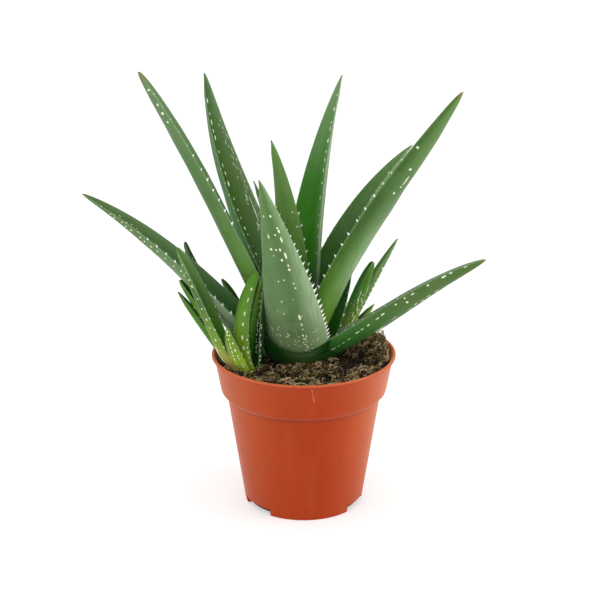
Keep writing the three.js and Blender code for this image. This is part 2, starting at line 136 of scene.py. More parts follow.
class Bench:
    """Modelling steps that every piece shares."""

    @staticmethod
    def clear() -> None:
        """Deselects everything, outside edit mode."""
        if bpy.context.object and bpy.context.object.mode != "OBJECT":
            bpy.ops.object.mode_set(mode="OBJECT")
        bpy.ops.object.select_all(action="DESELECT")

    @classmethod
    def pick(cls, piece: Piece) -> None:
        """Makes one piece the only selected and the active one."""
        cls.clear()
        piece.select_set(True)
        bpy.context.view_layer.objects.active = piece

    @classmethod
    def grid(cls, name: str, columns: int, rows: int) -> Piece:
        """Adds a flat grid with its own UV map, for a sweep to be laid out on.

        Args:
            name: the piece's name.
            columns: points along its first side.
            rows: points along its second side.

        Returns:
            The new piece, whose points run row by row.
        """
        cls.clear()
        bpy.ops.mesh.primitive_grid_add(
            x_subdivisions=columns - 1, y_subdivisions=rows - 1, size=1, location=(0, 0, 0)
        )
        piece = bpy.context.object
        piece.name = name
        piece.data.name = name
        return piece

    @classmethod
    def turned(
        cls,
        name: str,
        profile: list[tuple[float, float]],
        steps: int,
        start: float = 0.0,
        sweep: float = 360.0,
    ) -> Piece:
        """Spins a profile round the upright axis into a closed shell.

        Args:
            name: the piece's name.
            profile: radius and height of each point, in millimetres.
            steps: faces round the axis.
            start: heading of the profile, in degrees.
            sweep: how far it is spun, in degrees.

        Returns:
            The new piece, closed and facing outwards.
        """
        cls.clear()
        heading = math.radians(start)
        bpy.ops.mesh.primitive_plane_add(size=1, location=(0, 0, 0))
        piece = bpy.context.object
        piece.name = name
        piece.data.name = name
        bpy.ops.object.mode_set(mode="EDIT")
        bpy.ops.mesh.select_all(action="SELECT")
        bpy.ops.mesh.merge(type="CENTER")
        points = [
            Vector((math.cos(heading) * r, math.sin(heading) * r, z)) * MM for r, z in profile
        ]
        bpy.ops.transform.translate(value=points[0])
        for last, point in zip(points, points[1:]):
            bpy.ops.mesh.extrude_region_move(
                TRANSFORM_OT_translate={"value": point - last}
            )
        whole = abs(sweep - 360.0) < 1e-6
        if not whole:
            bpy.ops.mesh.select_all(action="SELECT")
            bpy.ops.mesh.remove_doubles(threshold=1e-6)
            bpy.ops.mesh.edge_face_add()
        bpy.ops.mesh.select_all(action="SELECT")
        bpy.ops.mesh.spin(
            steps=steps, angle=-math.radians(sweep), center=(0, 0, 0), axis=(0, 0, 1)
        )
        bpy.ops.mesh.select_all(action="SELECT")
        bpy.ops.mesh.remove_doubles(threshold=1e-6)
        bpy.ops.mesh.normals_make_consistent(inside=False)
        bpy.ops.object.mode_set(mode="OBJECT")
        return piece

    @classmethod
    def weld(cls, piece: Piece, reach: float = 0.004) -> None:
        """Merges points that coincide and turns the faces outwards.

        Args:
            piece: the piece to close.
            reach: how near two points are merged, in millimetres.
        """
        cls.pick(piece)
        bpy.ops.object.mode_set(mode="EDIT")
        bpy.ops.mesh.select_all(action="SELECT")
        bpy.ops.mesh.remove_doubles(threshold=reach * MM)
        bpy.ops.mesh.normals_make_consistent(inside=False)
        bpy.ops.object.mode_set(mode="OBJECT")

    @classmethod
    def smooth(cls, piece: Piece, angle: float = 40.0) -> None:
        """Shades a piece smooth wherever its faces meet at less than an angle."""
        cls.pick(piece)
        bpy.ops.object.shade_smooth_by_angle(angle=math.radians(angle))

    @classmethod
    def cut(cls, piece: Piece, other: Piece, action: str) -> None:
        """Joins, cuts or meets a piece with another one, which is used up.

        Args:
            piece: the piece that is changed.
            other: the piece that changes it.
            action: UNION, DIFFERENCE or INTERSECT.
        """
        cls.pick(piece)
        change = piece.modifiers.new("shape", "BOOLEAN")
        change.operation = action
        change.solver = "EXACT"
        change.object = other
        bpy.ops.object.modifier_apply(modifier=change.name)
        bpy.data.objects.remove(other)

    @staticmethod
    def solid(name: str, points: np.ndarray, faces: list[list[int]]) -> Piece:
        """Makes a piece from points, in millimetres, and the faces between them."""
        mesh = bpy.data.meshes.new(name)
        mesh.from_pydata([tuple(point * MM) for point in points], [], faces)
        piece = bpy.data.objects.new(name, mesh)
        bpy.context.scene.collection.objects.link(piece)
        return piece

    @staticmethod
    def repeated(pattern: Pattern, copies: int) -> list[list[int]]:
        """Numbers the faces of many copies of a pattern."""
        size = len(pattern[0])
        return [[i + k * size for i in face] for k in range(copies) for face in pattern[1]]

    @classmethod
    def join(cls, name: str, pieces: list[Piece]) -> Piece:
        """Joins several meshes into the first of them."""
        cls.clear()
        for piece in pieces:
            piece.select_set(True)
        bpy.context.view_layer.objects.active = pieces[0]
        if len(pieces) > 1:
            bpy.ops.object.join()
        pieces[0].name = name
        pieces[0].data.name = name
        return pieces[0]

    @staticmethod
    def place(piece: Piece, points: np.ndarray) -> None:
        """Moves the points of a piece.

        Args:
            piece: the piece.
            points: one row for each point, in millimetres.
        """
        flat = np.asarray(points, np.float32).reshape(-1) * MM
        piece.data.vertices.foreach_set("co", flat)
        piece.data.update()

    @staticmethod
    def points(piece: Piece) -> np.ndarray:
        """Returns the points of a piece, one row each, in millimetres."""
        flat = np.zeros(len(piece.data.vertices) * 3, np.float32)
        piece.data.vertices.foreach_get("co", flat)
        return flat.reshape(-1, 3) / MM

    @staticmethod
    def mark(piece: Piece, name: str, values: np.ndarray) -> None:
        """Stores a number or a colour on every point of a piece.

        Args:
            piece: the piece.
            name: the attribute's name.
            values: one number, or one row of red, green and blue, for each point.
        """
        values = np.asarray(values, np.float32)
        if values.ndim == 1:
            layer = piece.data.attributes.new(name, "FLOAT", "POINT")
            layer.data.foreach_set("value", values)
            return
        layer = piece.data.attributes.new(name, "FLOAT_COLOR", "POINT")
        rows = np.concatenate([values, np.ones((len(values), 1), np.float32)], 1)
        layer.data.foreach_set("color", rows.reshape(-1))

    @staticmethod
    def chart(piece: Piece, across: np.ndarray, along: np.ndarray) -> None:
        """Writes a piece's own map from two numbers for each point."""
        corners = np.zeros(len(piece.data.loops), np.int32)
        piece.data.loops.foreach_get("vertex_index", corners)
        flat = np.stack([across[corners], along[corners]], -1).astype(np.float32)
        piece.data.uv_layers[0].data.foreach_set("uv", flat.reshape(-1))

    @staticmethod
    def dress(piece: Piece, finish: Finish) -> None:
        """Gives a piece its only material."""
        piece.data.materials.clear()
        piece.data.materials.append(finish)

    @classmethod
    def stand_for(cls, piece: Piece, finish: Finish, slot: Slot, node: str = "") -> None:
        """Dresses a finished piece and ties it to the part.

        Args:
            piece: the finished piece.
            finish: its material.
            slot: the material slot that the finish belongs to; it is not used.
            node: the solid that the piece stands for, if it does.
        """
        cls.dress(piece, finish)
        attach(piece, ROOT)
        if node:
            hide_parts(node)
        LOG.info("%s: %d faces", piece.name, len(piece.data.polygons))


# ---------------------------------------------------------------- finishes


class Recipe:
    """A material's nodes, written as a chain of plain calls."""

    def __init__(self, name: str) -> None:
        """Starts a material with one surface shader."""
        self.material = bpy.data.materials.new(name)
        self.material.use_nodes = True
        self.tree = self.material.node_tree
        self.shader = self.tree.nodes["Principled BSDF"]

    def node(self, kind: str, **settings: object) -> bpy.types.Node:
        """Adds a node.

        Args:
            kind: the node's type.
            settings: its own settings.

        Returns:
            The new node.
        """
        made = self.tree.nodes.new(kind)
        for name, value in settings.items():
            setattr(made, name, value)
        return made

    def feed(self, socket: Socket, value: object) -> None:
        """Gives a socket a number, a colour or another node's output."""
        if isinstance(value, Socket):
            self.tree.links.new(value, socket)
        elif isinstance(value, Hue):
            socket.default_value = (*value.linear(), 1.0)
        elif isinstance(value, np.ndarray):
            whole = len(socket.default_value) == 4
            socket.default_value = (*value, 1.0) if whole else tuple(value)
        else:
            socket.default_value = value

    def set(self, **values: object) -> None:
        """Sets the shader's sockets, named with underscores for spaces."""
        for name, value in values.items():
            self.feed(self.shader.inputs[name.replace("_", " ")], value)

    def attribute(self, name: str) -> Socket:
        """Reads a number that is stored on the piece."""
        return self.node("ShaderNodeAttribute", attribute_name=name).outputs["Fac"]

    def painted(self, name: str) -> Socket:
        """Reads a colour that is stored on the piece."""
        return self.node("ShaderNodeAttribute", attribute_name=name).outputs["Color"]

    def place(self, own_map: bool = False) -> Socket:
        """Reads the place on the piece, from its own map or from its object space."""
        return self.node("ShaderNodeTexCoord").outputs["UV" if own_map else "Object"]

    def stretch(self, place: Socket, scale: Place) -> Socket:
        """Stretches a pattern's place."""
        made = self.node("ShaderNodeMapping")
        self.feed(made.inputs["Vector"], place)
        made.inputs["Scale"].default_value = scale
        return made.outputs["Vector"]

    def noise(
        self, place: Socket, scale: float, detail: float = 3.0, rough: float = 0.5
    ) -> Socket:
        """Adds a cloudy pattern.

        Args:
            place: where the pattern is read.
            scale: its repeats for each unit of place.
            detail: how many finer layers it has.
            rough: how strong they are.

        Returns:
            A number around one half.
        """
        made = self.node("ShaderNodeTexNoise")
        self.feed(made.inputs["Vector"], place)
        made.inputs["Scale"].default_value = scale
        made.inputs["Detail"].default_value = detail
        made.inputs["Roughness"].default_value = rough
        return made.outputs["Fac"]

    def cells(self, place: Socket, scale: float) -> Socket:
        """Adds a pattern of cells and gives the distance to the nearest one."""
        made = self.node("ShaderNodeTexVoronoi")
        self.feed(made.inputs["Vector"], place)
        made.inputs["Scale"].default_value = scale
        return made.outputs["Distance"]

    def range(
        self, value: object, low: float, high: float, to_low: float = 0.0, to_high: float = 1.0
    ) -> Socket:
        """Maps a range of numbers onto another one, held at its ends."""
        made = self.node("ShaderNodeMapRange", interpolation_type="SMOOTHSTEP")
        for socket, item in zip(made.inputs, (value, low, high, to_low, to_high)):
            self.feed(socket, item)
        return made.outputs["Result"]

    def math(self, action: str, first: object, second: object = 0.0) -> Socket:
        """Adds, multiplies or otherwise works out one number from two."""
        made = self.node("ShaderNodeMath", operation=action)
        self.feed(made.inputs[0], first)
        self.feed(made.inputs[1], second)
        return made.outputs["Value"]

    def times(self, first: object, second: object) -> Socket:
        """Multiplies two numbers."""
        return self.math("MULTIPLY", first, second)

    def away(self, value: object, centre: float) -> Socket:
        """Works out how far a number is from a centre."""
        return self.math("ABSOLUTE", self.math("SUBTRACT", value, centre))

    def split(self, place: Socket) -> list[Socket]:
        """Takes a place apart into its X, Y and Z."""
        parts = self.node("ShaderNodeSeparateXYZ")
        self.feed(parts.inputs[0], place)
        return [parts.outputs[name] for name in "XYZ"]

    def blend(self, share: object, first: object, second: object, way: str = "MIX") -> Socket:
        """Mixes two colours.

        Args:
            share: how much of the second shows.
            first: a colour.
            second: a colour.
            way: how they are mixed.

        Returns:
            The mixed colour.
        """
        made = self.node("ShaderNodeMix", data_type="RGBA", blend_type=way)
        self.feed(made.inputs[0], share)
        self.feed(made.inputs[6], first)
        self.feed(made.inputs[7], second)
        return made.outputs[2]

    def relief(self, height: object, depth: float, strength: float = 1.0) -> None:
        """Gives the surface a fine relief, whose depth is in millimetres."""
        made = self.node("ShaderNodeBump")
        made.inputs["Strength"].default_value = strength
        made.inputs["Distance"].default_value = depth * MM
        self.feed(made.inputs["Height"], height)
        self.feed(self.shader.inputs["Normal"], made.outputs["Normal"])


# what a colour is multiplied by where it is darker
LEAF_SHADE = np.array((0.55, 0.72, 0.42))
DARK_BAND_SHADE = np.array((0.42, 0.52, 0.24))
PLASTIC_SHADE = np.array((0.86, 0.76, 0.7))


@dataclass(frozen=True)
class LeafSkin:
    """Waxy skin of a leaf, with its lengthwise grain, flecks, teeth and dry tip.

    `scar` is where the crease and the scuffs lie along the leaf's own map, and each of
    `scuffs` is how far below it, how far across and how wide, all in centimetres.
    """

    name: str
    roughness: float = 0.4
    grain: float = 0.45
    mottle: float = 0.3
    glow: float = 0.06
    wax: float = 0.02
    scar: float = 0.0
    scuffs: tuple[Place, ...] = ((0.0, 7.25, 0.95), (1.55, 7.45, 0.6))

    def material(self) -> Finish:
        """Builds the skin from what is stored on each leaf.

        Returns:
            The finished material.
        """
        r = Recipe(self.name)
        place = r.place()
        own = r.place(own_map=True)
        long_grain = r.noise(r.stretch(own, (14.0, 0.55, 1.0)), 1.0, 4.0, 0.6)
        fine_grain = r.noise(r.stretch(own, (42.0, 1.6, 1.0)), 1.0, 2.0, 0.5)
        clouds = r.noise(place, 62.0, 4.0, 0.62)
        patches = r.noise(r.stretch(place, (1.0, 1.0, 0.45)), 150.0, 3.0, 0.6)
        colour = r.painted("tone")
        dark = r.blend(1.0, colour, LEAF_SHADE, "MULTIPLY")
        light = r.blend(0.22, colour, Hue.MIST)
        colour = r.blend(r.range(long_grain, 0.36, 0.68, 0.0, self.grain), colour, dark)
        colour = r.blend(r.range(clouds, 0.45, 0.72, 0.0, self.mottle), colour, light)
        colour = r.blend(r.range(patches, 0.56, 0.74, 0.0, self.mottle), colour, dark)
        # a darker band lengthwise, painted shade on the front and the right leaf
        dark_band = r.times(r.attribute("dark_band"), r.range(clouds, 0.3, 0.6, 0.55, 1.0))
        deep = r.blend(1.0, colour, DARK_BAND_SHADE, "MULTIPLY")
        colour = r.blend(dark_band, colour, deep)
        if self.scar:
            colour = self.scarred(r, own, colour, dark)
        streaks = r.range(long_grain, 0.32, 0.66, 0.35, 1.0)
        # wax bloom and painted sheen, paler along the grain
        bloom_and_sheen = r.times(r.attribute("bloom_and_sheen"), streaks)
        colour = r.blend(bloom_and_sheen, colour, Hue.MIST)
        colour = r.blend(r.attribute("margin"), colour, Hue.MIST)
        colour = r.blend(r.range(r.attribute("fleck"), 0.15, 0.8), colour, Hue.CREAM)
        colour = r.blend(r.range(r.attribute("tooth"), 0.1, 0.6), colour, Hue.WHITE)
        colour = r.blend(r.attribute("dry"), colour, Hue.BRONZE)
        r.set(
            Base_Color=colour,
            Roughness=r.math("ADD", r.range(clouds, 0.3, 0.7, 0.0, 0.12), self.roughness - 0.06),
            Specular_IOR_Level=0.1,
            Sheen_Weight=self.wax,
            Sheen_Roughness=0.4,
            Subsurface_Weight=self.glow,
            Subsurface_Radius=(0.3, 1.0, 0.1),
            Subsurface_Scale=1.6 * MM,
        )
        height = r.math("ADD", long_grain, r.times(fine_grain, 0.6))
        height = r.math("ADD", height, r.times(r.noise(place, 1100.0, 2.0), 0.25))
        r.relief(height, 0.16, 0.7)
        return r.material

    def scarred(
        self,
        r: Recipe,
        own: Socket,
        colour: Socket,
        dark: Socket,
    ) -> Socket:
        """Draws the fine crease and the scuffed patch across the under face.

        Args:
            r: the material's recipe.
            own: place on the leaf's own map, in centimetres.
            colour: the skin's colour so far.
            dark: its darker shade.

        Returns:
            The colour with both marks.
        """
        across, along, _ = r.split(own)
        wander = r.noise(r.stretch(own, (1.4, 0.2, 1.0)), 1.0, 3.0)
        line = r.math("ADD", along, r.times(wander, -0.5))
        crease = r.range(r.away(line, self.scar - 0.6), 0.05, 0.0)
        rubbed = r.range(r.noise(r.stretch(own, (2.4, 8.0, 1.0)), 1.0, 4.0, 0.7), 0.44, 0.54)
        for drop, centre, reach in self.scuffs:
            level, side = r.away(along, self.scar - drop), r.away(across, centre)
            patch = r.times(r.range(level, 0.45, 0.1), r.range(side, reach, 0.3))
            patch = r.times(patch, rubbed)
            colour = r.blend(r.times(patch, 0.8), colour, Hue.LEAF)
        return r.blend(r.times(crease, 0.75), colour, dark)


@dataclass(frozen=True)
class PotPlastic:
    """Satin moulded plastic with faint flow marks, dust, a rubbed lip and one scratch, painted
    sheen on its sides and painted shade under its band.
    """

    name: str = "moulded_plastic"
    colour: str = "#a23508"
    worn: str = "#d97f55"
    # the paler orange of the painted sheen on the pot's sides
    side_sheen: str = "#cf6c36"
    scratched: str = "#f0b593"
    roughness: float = 0.4
    scratch_slant: float = 0.15
    scratch_at: float = 0.0199
    scratch_width: float = 0.45 * MM

    def material(self) -> Finish:
        """Builds the plastic.

        Returns:
            The finished material.
        """
        r = Recipe(self.name)
        place = r.place()
        clouds = r.noise(place, 28.0, 4.0, 0.6)
        grain = r.noise(place, 900.0, 3.0, 0.6)
        flow = r.noise(r.stretch(place, (1.0, 1.0, 0.12)), 90.0, 3.0, 0.55)
        base = screen_to_linear(self.colour)
        worn = screen_to_linear(self.worn)
        deep = base * PLASTIC_SHADE
        colour = r.blend(r.range(clouds, 0.35, 0.7, 0.0, 0.55), base, deep)
        colour = r.blend(r.range(flow, 0.45, 0.75, 0.0, 0.05), colour, worn)
        # painted sheen: the pot's left and right sides are lightened towards a paler orange, as
        # where light grazes them
        fade = r.times(r.attribute("fade"), r.range(clouds, 0.3, 0.7, 0.75, 1.0))
        colour = r.blend(fade, colour, screen_to_linear(self.side_sheen))
        # painted shade: the crease under the rim band is darkened
        colour = r.blend(r.attribute("crease_shade"), colour, deep * 0.5)
        wear = r.times(r.attribute("wear"), r.range(grain, 0.3, 0.62, 0.45, 1.0))
        colour = r.blend(wear, colour, worn)
        dust = r.range(r.cells(place, 210.0), 0.05, 0.018, 0.0, 0.7)
        chosen = r.range(r.noise(place, 55.0, 1.0), 0.63, 0.7)
        colour = r.blend(r.times(dust, chosen), colour, Hue.CREAM)
        colour = r.blend(self.scratch(r, place), colour, screen_to_linear(self.scratched))
        r.set(
            Base_Color=colour,
            Roughness=r.math("ADD", r.range(clouds, 0.3, 0.7, 0.0, 0.1), self.roughness),
            Specular_IOR_Level=0.12,
            Sheen_Weight=0.16,
            Sheen_Roughness=0.4,
            Sheen_Tint=(1.0, 0.68, 0.48, 1.0),
        )
        r.relief(r.math("ADD", grain, r.times(clouds, 1.5)), 0.04, 0.55)
        return r.material

    def scratch(self, r: Recipe, place: Socket) -> Socket:
        """Draws the fine slanted scratch below the lip in front.

        Args:
            r: the material's recipe.
            place: place on the pot, in metres.

        Returns:
            How pale the plastic is there.
        """
        x, y, z = r.split(place)
        slant = r.math("ADD", x, r.times(z, self.scratch_slant))
        away = r.away(slant, self.scratch_at)
        line = r.range(away, self.scratch_width, self.scratch_width / 3, 0.0, 0.42)
        front = r.range(y, -30 * MM, -40 * MM)
        low = r.range(z, 89 * MM, 92 * MM)
        high = r.range(z, 101 * MM, 98 * MM, 0.35, 1.0)
        broken = r.range(r.noise(place, 260.0, 2.0), 0.4, 0.55, 0.3, 1.0)
        for share in (front, low, high, broken):
            line = r.times(line, share)
        return line


@dataclass(frozen=True)
class Fibre:
    """Dry or living fibre of one colour family, varied from strand to strand."""

    name: str
    first: str
    second: str
    third: str
    roughness: float = 0.75

    def material(self) -> Finish:
        """Builds the fibre's colour from its place.

        Returns:
            The finished material.
        """
        r = Recipe(self.name)
        place = r.place()
        broad = r.noise(place, 240.0, 3.0, 0.6)
        fine = r.noise(place, 1400.0, 2.0, 0.5)
        first, second, third = map(screen_to_linear, (self.first, self.second, self.third))
        colour = r.blend(r.range(broad, 0.4, 0.62), first, second)
        colour = r.blend(r.range(fine, 0.45, 0.68, 0.0, 0.75), colour, third)
        r.set(Base_Color=colour, Roughness=self.roughness, Specular_IOR_Level=0.3)
        r.relief(fine, 0.08, 0.6)
        return r.material


@dataclass(frozen=True)
class Plain:
    """A matte surface of one colour with a faint mottle."""

    name: str
    colour: str
    roughness: float = 0.8
    mottle: float = 0.15
    lit: float = 0.0

    def material(self) -> Finish:
        """Builds the surface.

        Returns:
            The finished material.
        """
        r = Recipe(self.name)
        base = screen_to_linear(self.colour)
        clouds = r.noise(r.place(), 120.0, 3.0)
        colour = r.blend(r.range(clouds, 0.3, 0.7, 0.0, self.mottle), base, base * 0.6)
        r.set(Base_Color=colour, Roughness=self.roughness)
        if self.lit:
            r.set(Emission_Color=(1.0, 1.0, 1.0, 1.0), Emission_Strength=self.lit)
        return r.material


# ---------------------------------------------------------------- leaves


class Face(Enum):
    """The two faces of a leaf."""

    UPPER = 0
    UNDER = 1


@dataclass(frozen=True)
class Row:
    """A row of pale flecks along a leaf, from start to end as shares of its length.

    `across` is its place from -1 to 1, which `drift` moves by the end and `spread`
    scatters; `step`, `width` and `length` are in millimetres.
    """

    face: Face
    across: float
    start: float
    end: float
    step: float = 6.0
    width: float = 0.8
    length: float = 1.5
    spread: float = 0.05
    drift: float = 0.0


@dataclass(frozen=True)
class Spot:
    """One pale fleck of the under face; its size is in millimetres."""

    at: float
    across: float
    width: float
    length: float


Hues = tuple[Hue, Hue, Hue, Hue]


@dataclass(frozen=True)
class Tone:
    """Colours of a leaf at its foot, low down, half way and at its tip, for each face.

    The under face is like the upper one where it has no colours of its own. `bloom_and_sheen` is
    the wax bloom and painted sheen on its left margin, middle and right margin, `dry` the dry tip,
    `dark_band` a darker band lengthwise, painted shade on the front and the right leaf, and
    `painted_light` a band of painted sheen low on the under face.
    """

    upper: Hues
    under: Hues | None = None
    bloom_and_sheen: tuple[float, float, float] = (0.04, 0.0, 0.04)
    dry: float = 0.0
    dark_band: float = 0.25
    dark_band_at: float = 0.0
    painted_light: float = 0.0
    painted_light_at: float = 0.0


@dataclass(frozen=True)
class Teeth:
    """Spacing and size of the teeth along a margin, in millimetres.

    `minus` and `plus` scale the teeth of each margin; `lift` turns them up from the blade.
    """

    near: float = 4.2
    far: float = 9.5
    size: float = 2.3
    start: float = 0.08
    end: float = 0.96
    minus: float = 1.0
    plus: float = 1.0
    lift: float = 0.0


# the rosette's middle, and how far up a leaf the form of its foot reaches
STEM_AT = (-4.0, 9.0)
FOOT_REACH = {Slot.LEAF: 14.0, Slot.SAGE: 9.0, Slot.YOUNG: 8.0}
# steps of a leaf's spine, and places of its last rings of points
SPINE_STEPS = 400
LAST_RING = 0.982
TIP_RINGS = (0.99, 0.9945, 0.998, 1.0, 1.0)
# least thickness of a margin, least half width and thickness of a tip
MARGIN = 1.0
TIP_HALF = 0.22
TIP_THICK = 0.5
# where a tone's four hues lie along a leaf
SPREAD_AT = (0.03, 0.24, 0.58, 1.0)
# widths of the band of painted sheen and of the darker lengthwise band, and start of the margin,
# as shares of half a leaf
PAINTED_LIGHT_WIDTH = 0.32
DARK_BAND_WIDTH = 0.24
MARGIN_FROM = 0.975
# how far across its own map the under face starts, in centimetres
UNDER_CHART = 8.0
# how a tooth leans to the tip and how deep it stands, and spreads of its size and spacing
TOOTH_LEAN = 0.34
TOOTH_SUNK = 0.45
TOOTH_SIZES = (0.85, 1.12)
TOOTH_STEPS = (0.82, 1.2)
# how a fleck's bead stands out and is sunk, and spreads of its size and spacing
BEAD_HEIGHT = 0.16
BEAD_SUNK = 0.02
FLECK_EDGE = 0.97
FLECK_WIDTHS = (0.6, 1.25)
FLECK_LENGTHS = (0.55, 1.4)
FLECK_STEPS = (0.55, 1.5)


@dataclass(frozen=True)
class LeafShape:
    """One leaf, in the words of the part's own source: degrees and millimetres.

    A leaf of the rosette stands on a `ring` round the stem, one of an offshoot on its
    own `foot`.
    """

    name: str
    slot: Slot
    heading: float
    rise: float
    lift: float
    hook: float
    length: float
    width: float
    thick: float
    cup: tuple[float, float]
    taper: float
    belly: float
    tone: Tone
    sway: float = 0.0
    swerve: float = 0.0
    roll: tuple[float, float] = (0.0, 0.0)
    foot: tuple[float, float] | None = None
    ring: float = 0.0
    foot_z: float = 97.0
    foot_rise: float = 0.0
    clasp: float = 0.0
    teeth: Teeth = Teeth()
    rows: tuple[Row, ...] = ()
    spots: tuple[Spot, ...] = ()


class LeafForm:
    """Works out points and directions on a leaf's surface."""

    def __init__(self, shape: LeafShape) -> None:
        """Walks the leaf's spine once."""
        self.shape = shape
        steps = (np.arange(SPINE_STEPS) + 0.5) / SPINE_STEPS
        along, _, _ = self.frame(steps)
        walk = np.cumsum(along, 0) * shape.length / SPINE_STEPS
        self.spine = np.vstack([np.zeros(3), walk]) + np.array(self.foot_point())

    def foot_point(self) -> Place:
        """Returns where the middle of the leaf's foot stands."""
        s = self.shape
        if s.foot:
            return (*s.foot, s.foot_z)
        heading = math.radians(s.heading)
        x = STEM_AT[0] + s.ring * math.cos(heading)
        y = STEM_AT[1] + s.ring * math.sin(heading)
        return (x, y, s.foot_z)

    def foot_share(self, at: np.ndarray) -> np.ndarray:
        """Returns how much of the foot's own form there is at each place."""
        return np.exp(-((at * self.shape.length / FOOT_REACH[self.shape.slot]) ** 2))

    def frame(self, at: np.ndarray) -> tuple[np.ndarray, np.ndarray, np.ndarray]:
        """Works out the leaf's directions.

        Args:
            at: places along the leaf, 0 to 1.

        Returns:
            The directions along the leaf, out of its upper face and across it.
        """
        s = self.shape
        share = self.foot_share(at)
        foot_rise = s.foot_rise or s.rise
        rise = np.radians(s.rise + s.lift * at + s.hook * at**2 + (foot_rise - s.rise) * share)
        heading = np.radians(s.heading + s.sway * at + s.swerve * at**2)
        cr, sr, ch, sh = np.cos(rise), np.sin(rise), np.cos(heading), np.sin(heading)
        along = np.stack([cr * ch, cr * sh, sr], -1)
        face = np.stack([-sr * ch, -sr * sh, cr], -1)
        across = np.cross(along, face)
        roll = np.radians(s.roll[0] + (s.roll[1] - s.roll[0]) * at) * (1 - share)
        c, d = np.cos(roll)[..., None], np.sin(roll)[..., None]
        return along, face * c + across * d, across * c - face * d

    def section(self, at: np.ndarray) -> tuple[np.ndarray, np.ndarray, np.ndarray]:
        """Works out the section's size.

        Args:
            at: places along the leaf.

        Returns:
            Half its width, half its arc in radians, and its thickness in the middle.
        """
        s = self.shape
        beyond = np.maximum(at - s.belly, 0) / (1 - s.belly)
        full = np.maximum(np.cos(math.pi / 2 * np.minimum(beyond, 1)), 0) ** s.taper
        share = self.foot_share(at)
        half = np.maximum(s.width / 2 * full, TIP_HALF)
        angle = np.radians(s.cup[0] + (s.cup[1] - s.cup[0]) * at)
        if s.clasp:
            clasp = math.radians(s.clasp)
            half = half + (s.ring * clasp - half) * share
            angle = angle + (clasp - angle) * share
        thick = np.maximum(s.thick * full**0.9 * (1 - 0.5 * share), TIP_THICK)
        return half, angle, thick

    def point(self, at: np.ndarray, across: np.ndarray, under: np.ndarray) -> np.ndarray:
        """Works out points of the leaf.

        Args:
            at: places along the leaf.
            across: places across it, -1 to 1.
            under: 0 on the upper face, 1 on the under face, between them on the margin.

        Returns:
            One row for each point, in millimetres.
        """
        _, face, side = self.frame(at)
        half, angle, thick = self.section(at)
        radius = half / angle
        turn = across * angle
        share = 0.12 + 0.88 * np.maximum(1 - across**2, 0) ** 0.7
        lip = MARGIN * np.clip((1 - at) * 14, 0.35, 1)
        depth = under * np.maximum(lip, thick * share)
        x = (radius + depth) * np.sin(turn)
        y = radius * (1 - np.cos(turn)) - depth * np.cos(turn)
        bulge = 4 * under * (1 - under) * 0.3 * np.sign(across)
        x = x + bulge * np.cos(turn)
        y = y + bulge * np.sin(turn)
        spot, knots = np.clip(at, 0, 1) * SPINE_STEPS, np.arange(SPINE_STEPS + 1)
        base = np.stack([np.interp(spot, knots, line) for line in self.spine.T], -1)
        return base + side * x[..., None] + face * y[..., None]

    def surface(
        self, at: np.ndarray, across: np.ndarray, under: np.ndarray
    ) -> tuple[np.ndarray, np.ndarray]:
        """Works out points of the leaf and the directions out of it.

        Args:
            at: places along the leaf.
            across: places across it.
            under: 0 or 1 for the face.

        Returns:
            The points and their outward directions.
        """
        here = self.point(at, across, under)
        ahead = self.point(np.minimum(at + 0.004, 1.0), across, under) - self.point(
            np.maximum(at - 0.004, 0.0), across, under
        )
        beside = self.point(at, np.minimum(across + 0.02, 1.0), under) - self.point(
            at, np.maximum(across - 0.02, -1.0), under
        )
        out = np.cross(beside, ahead) * np.where(under > 0.5, -1.0, 1.0)[..., None]
        out /= np.linalg.norm(out, axis=-1, keepdims=True) + 1e-9
        return here, out


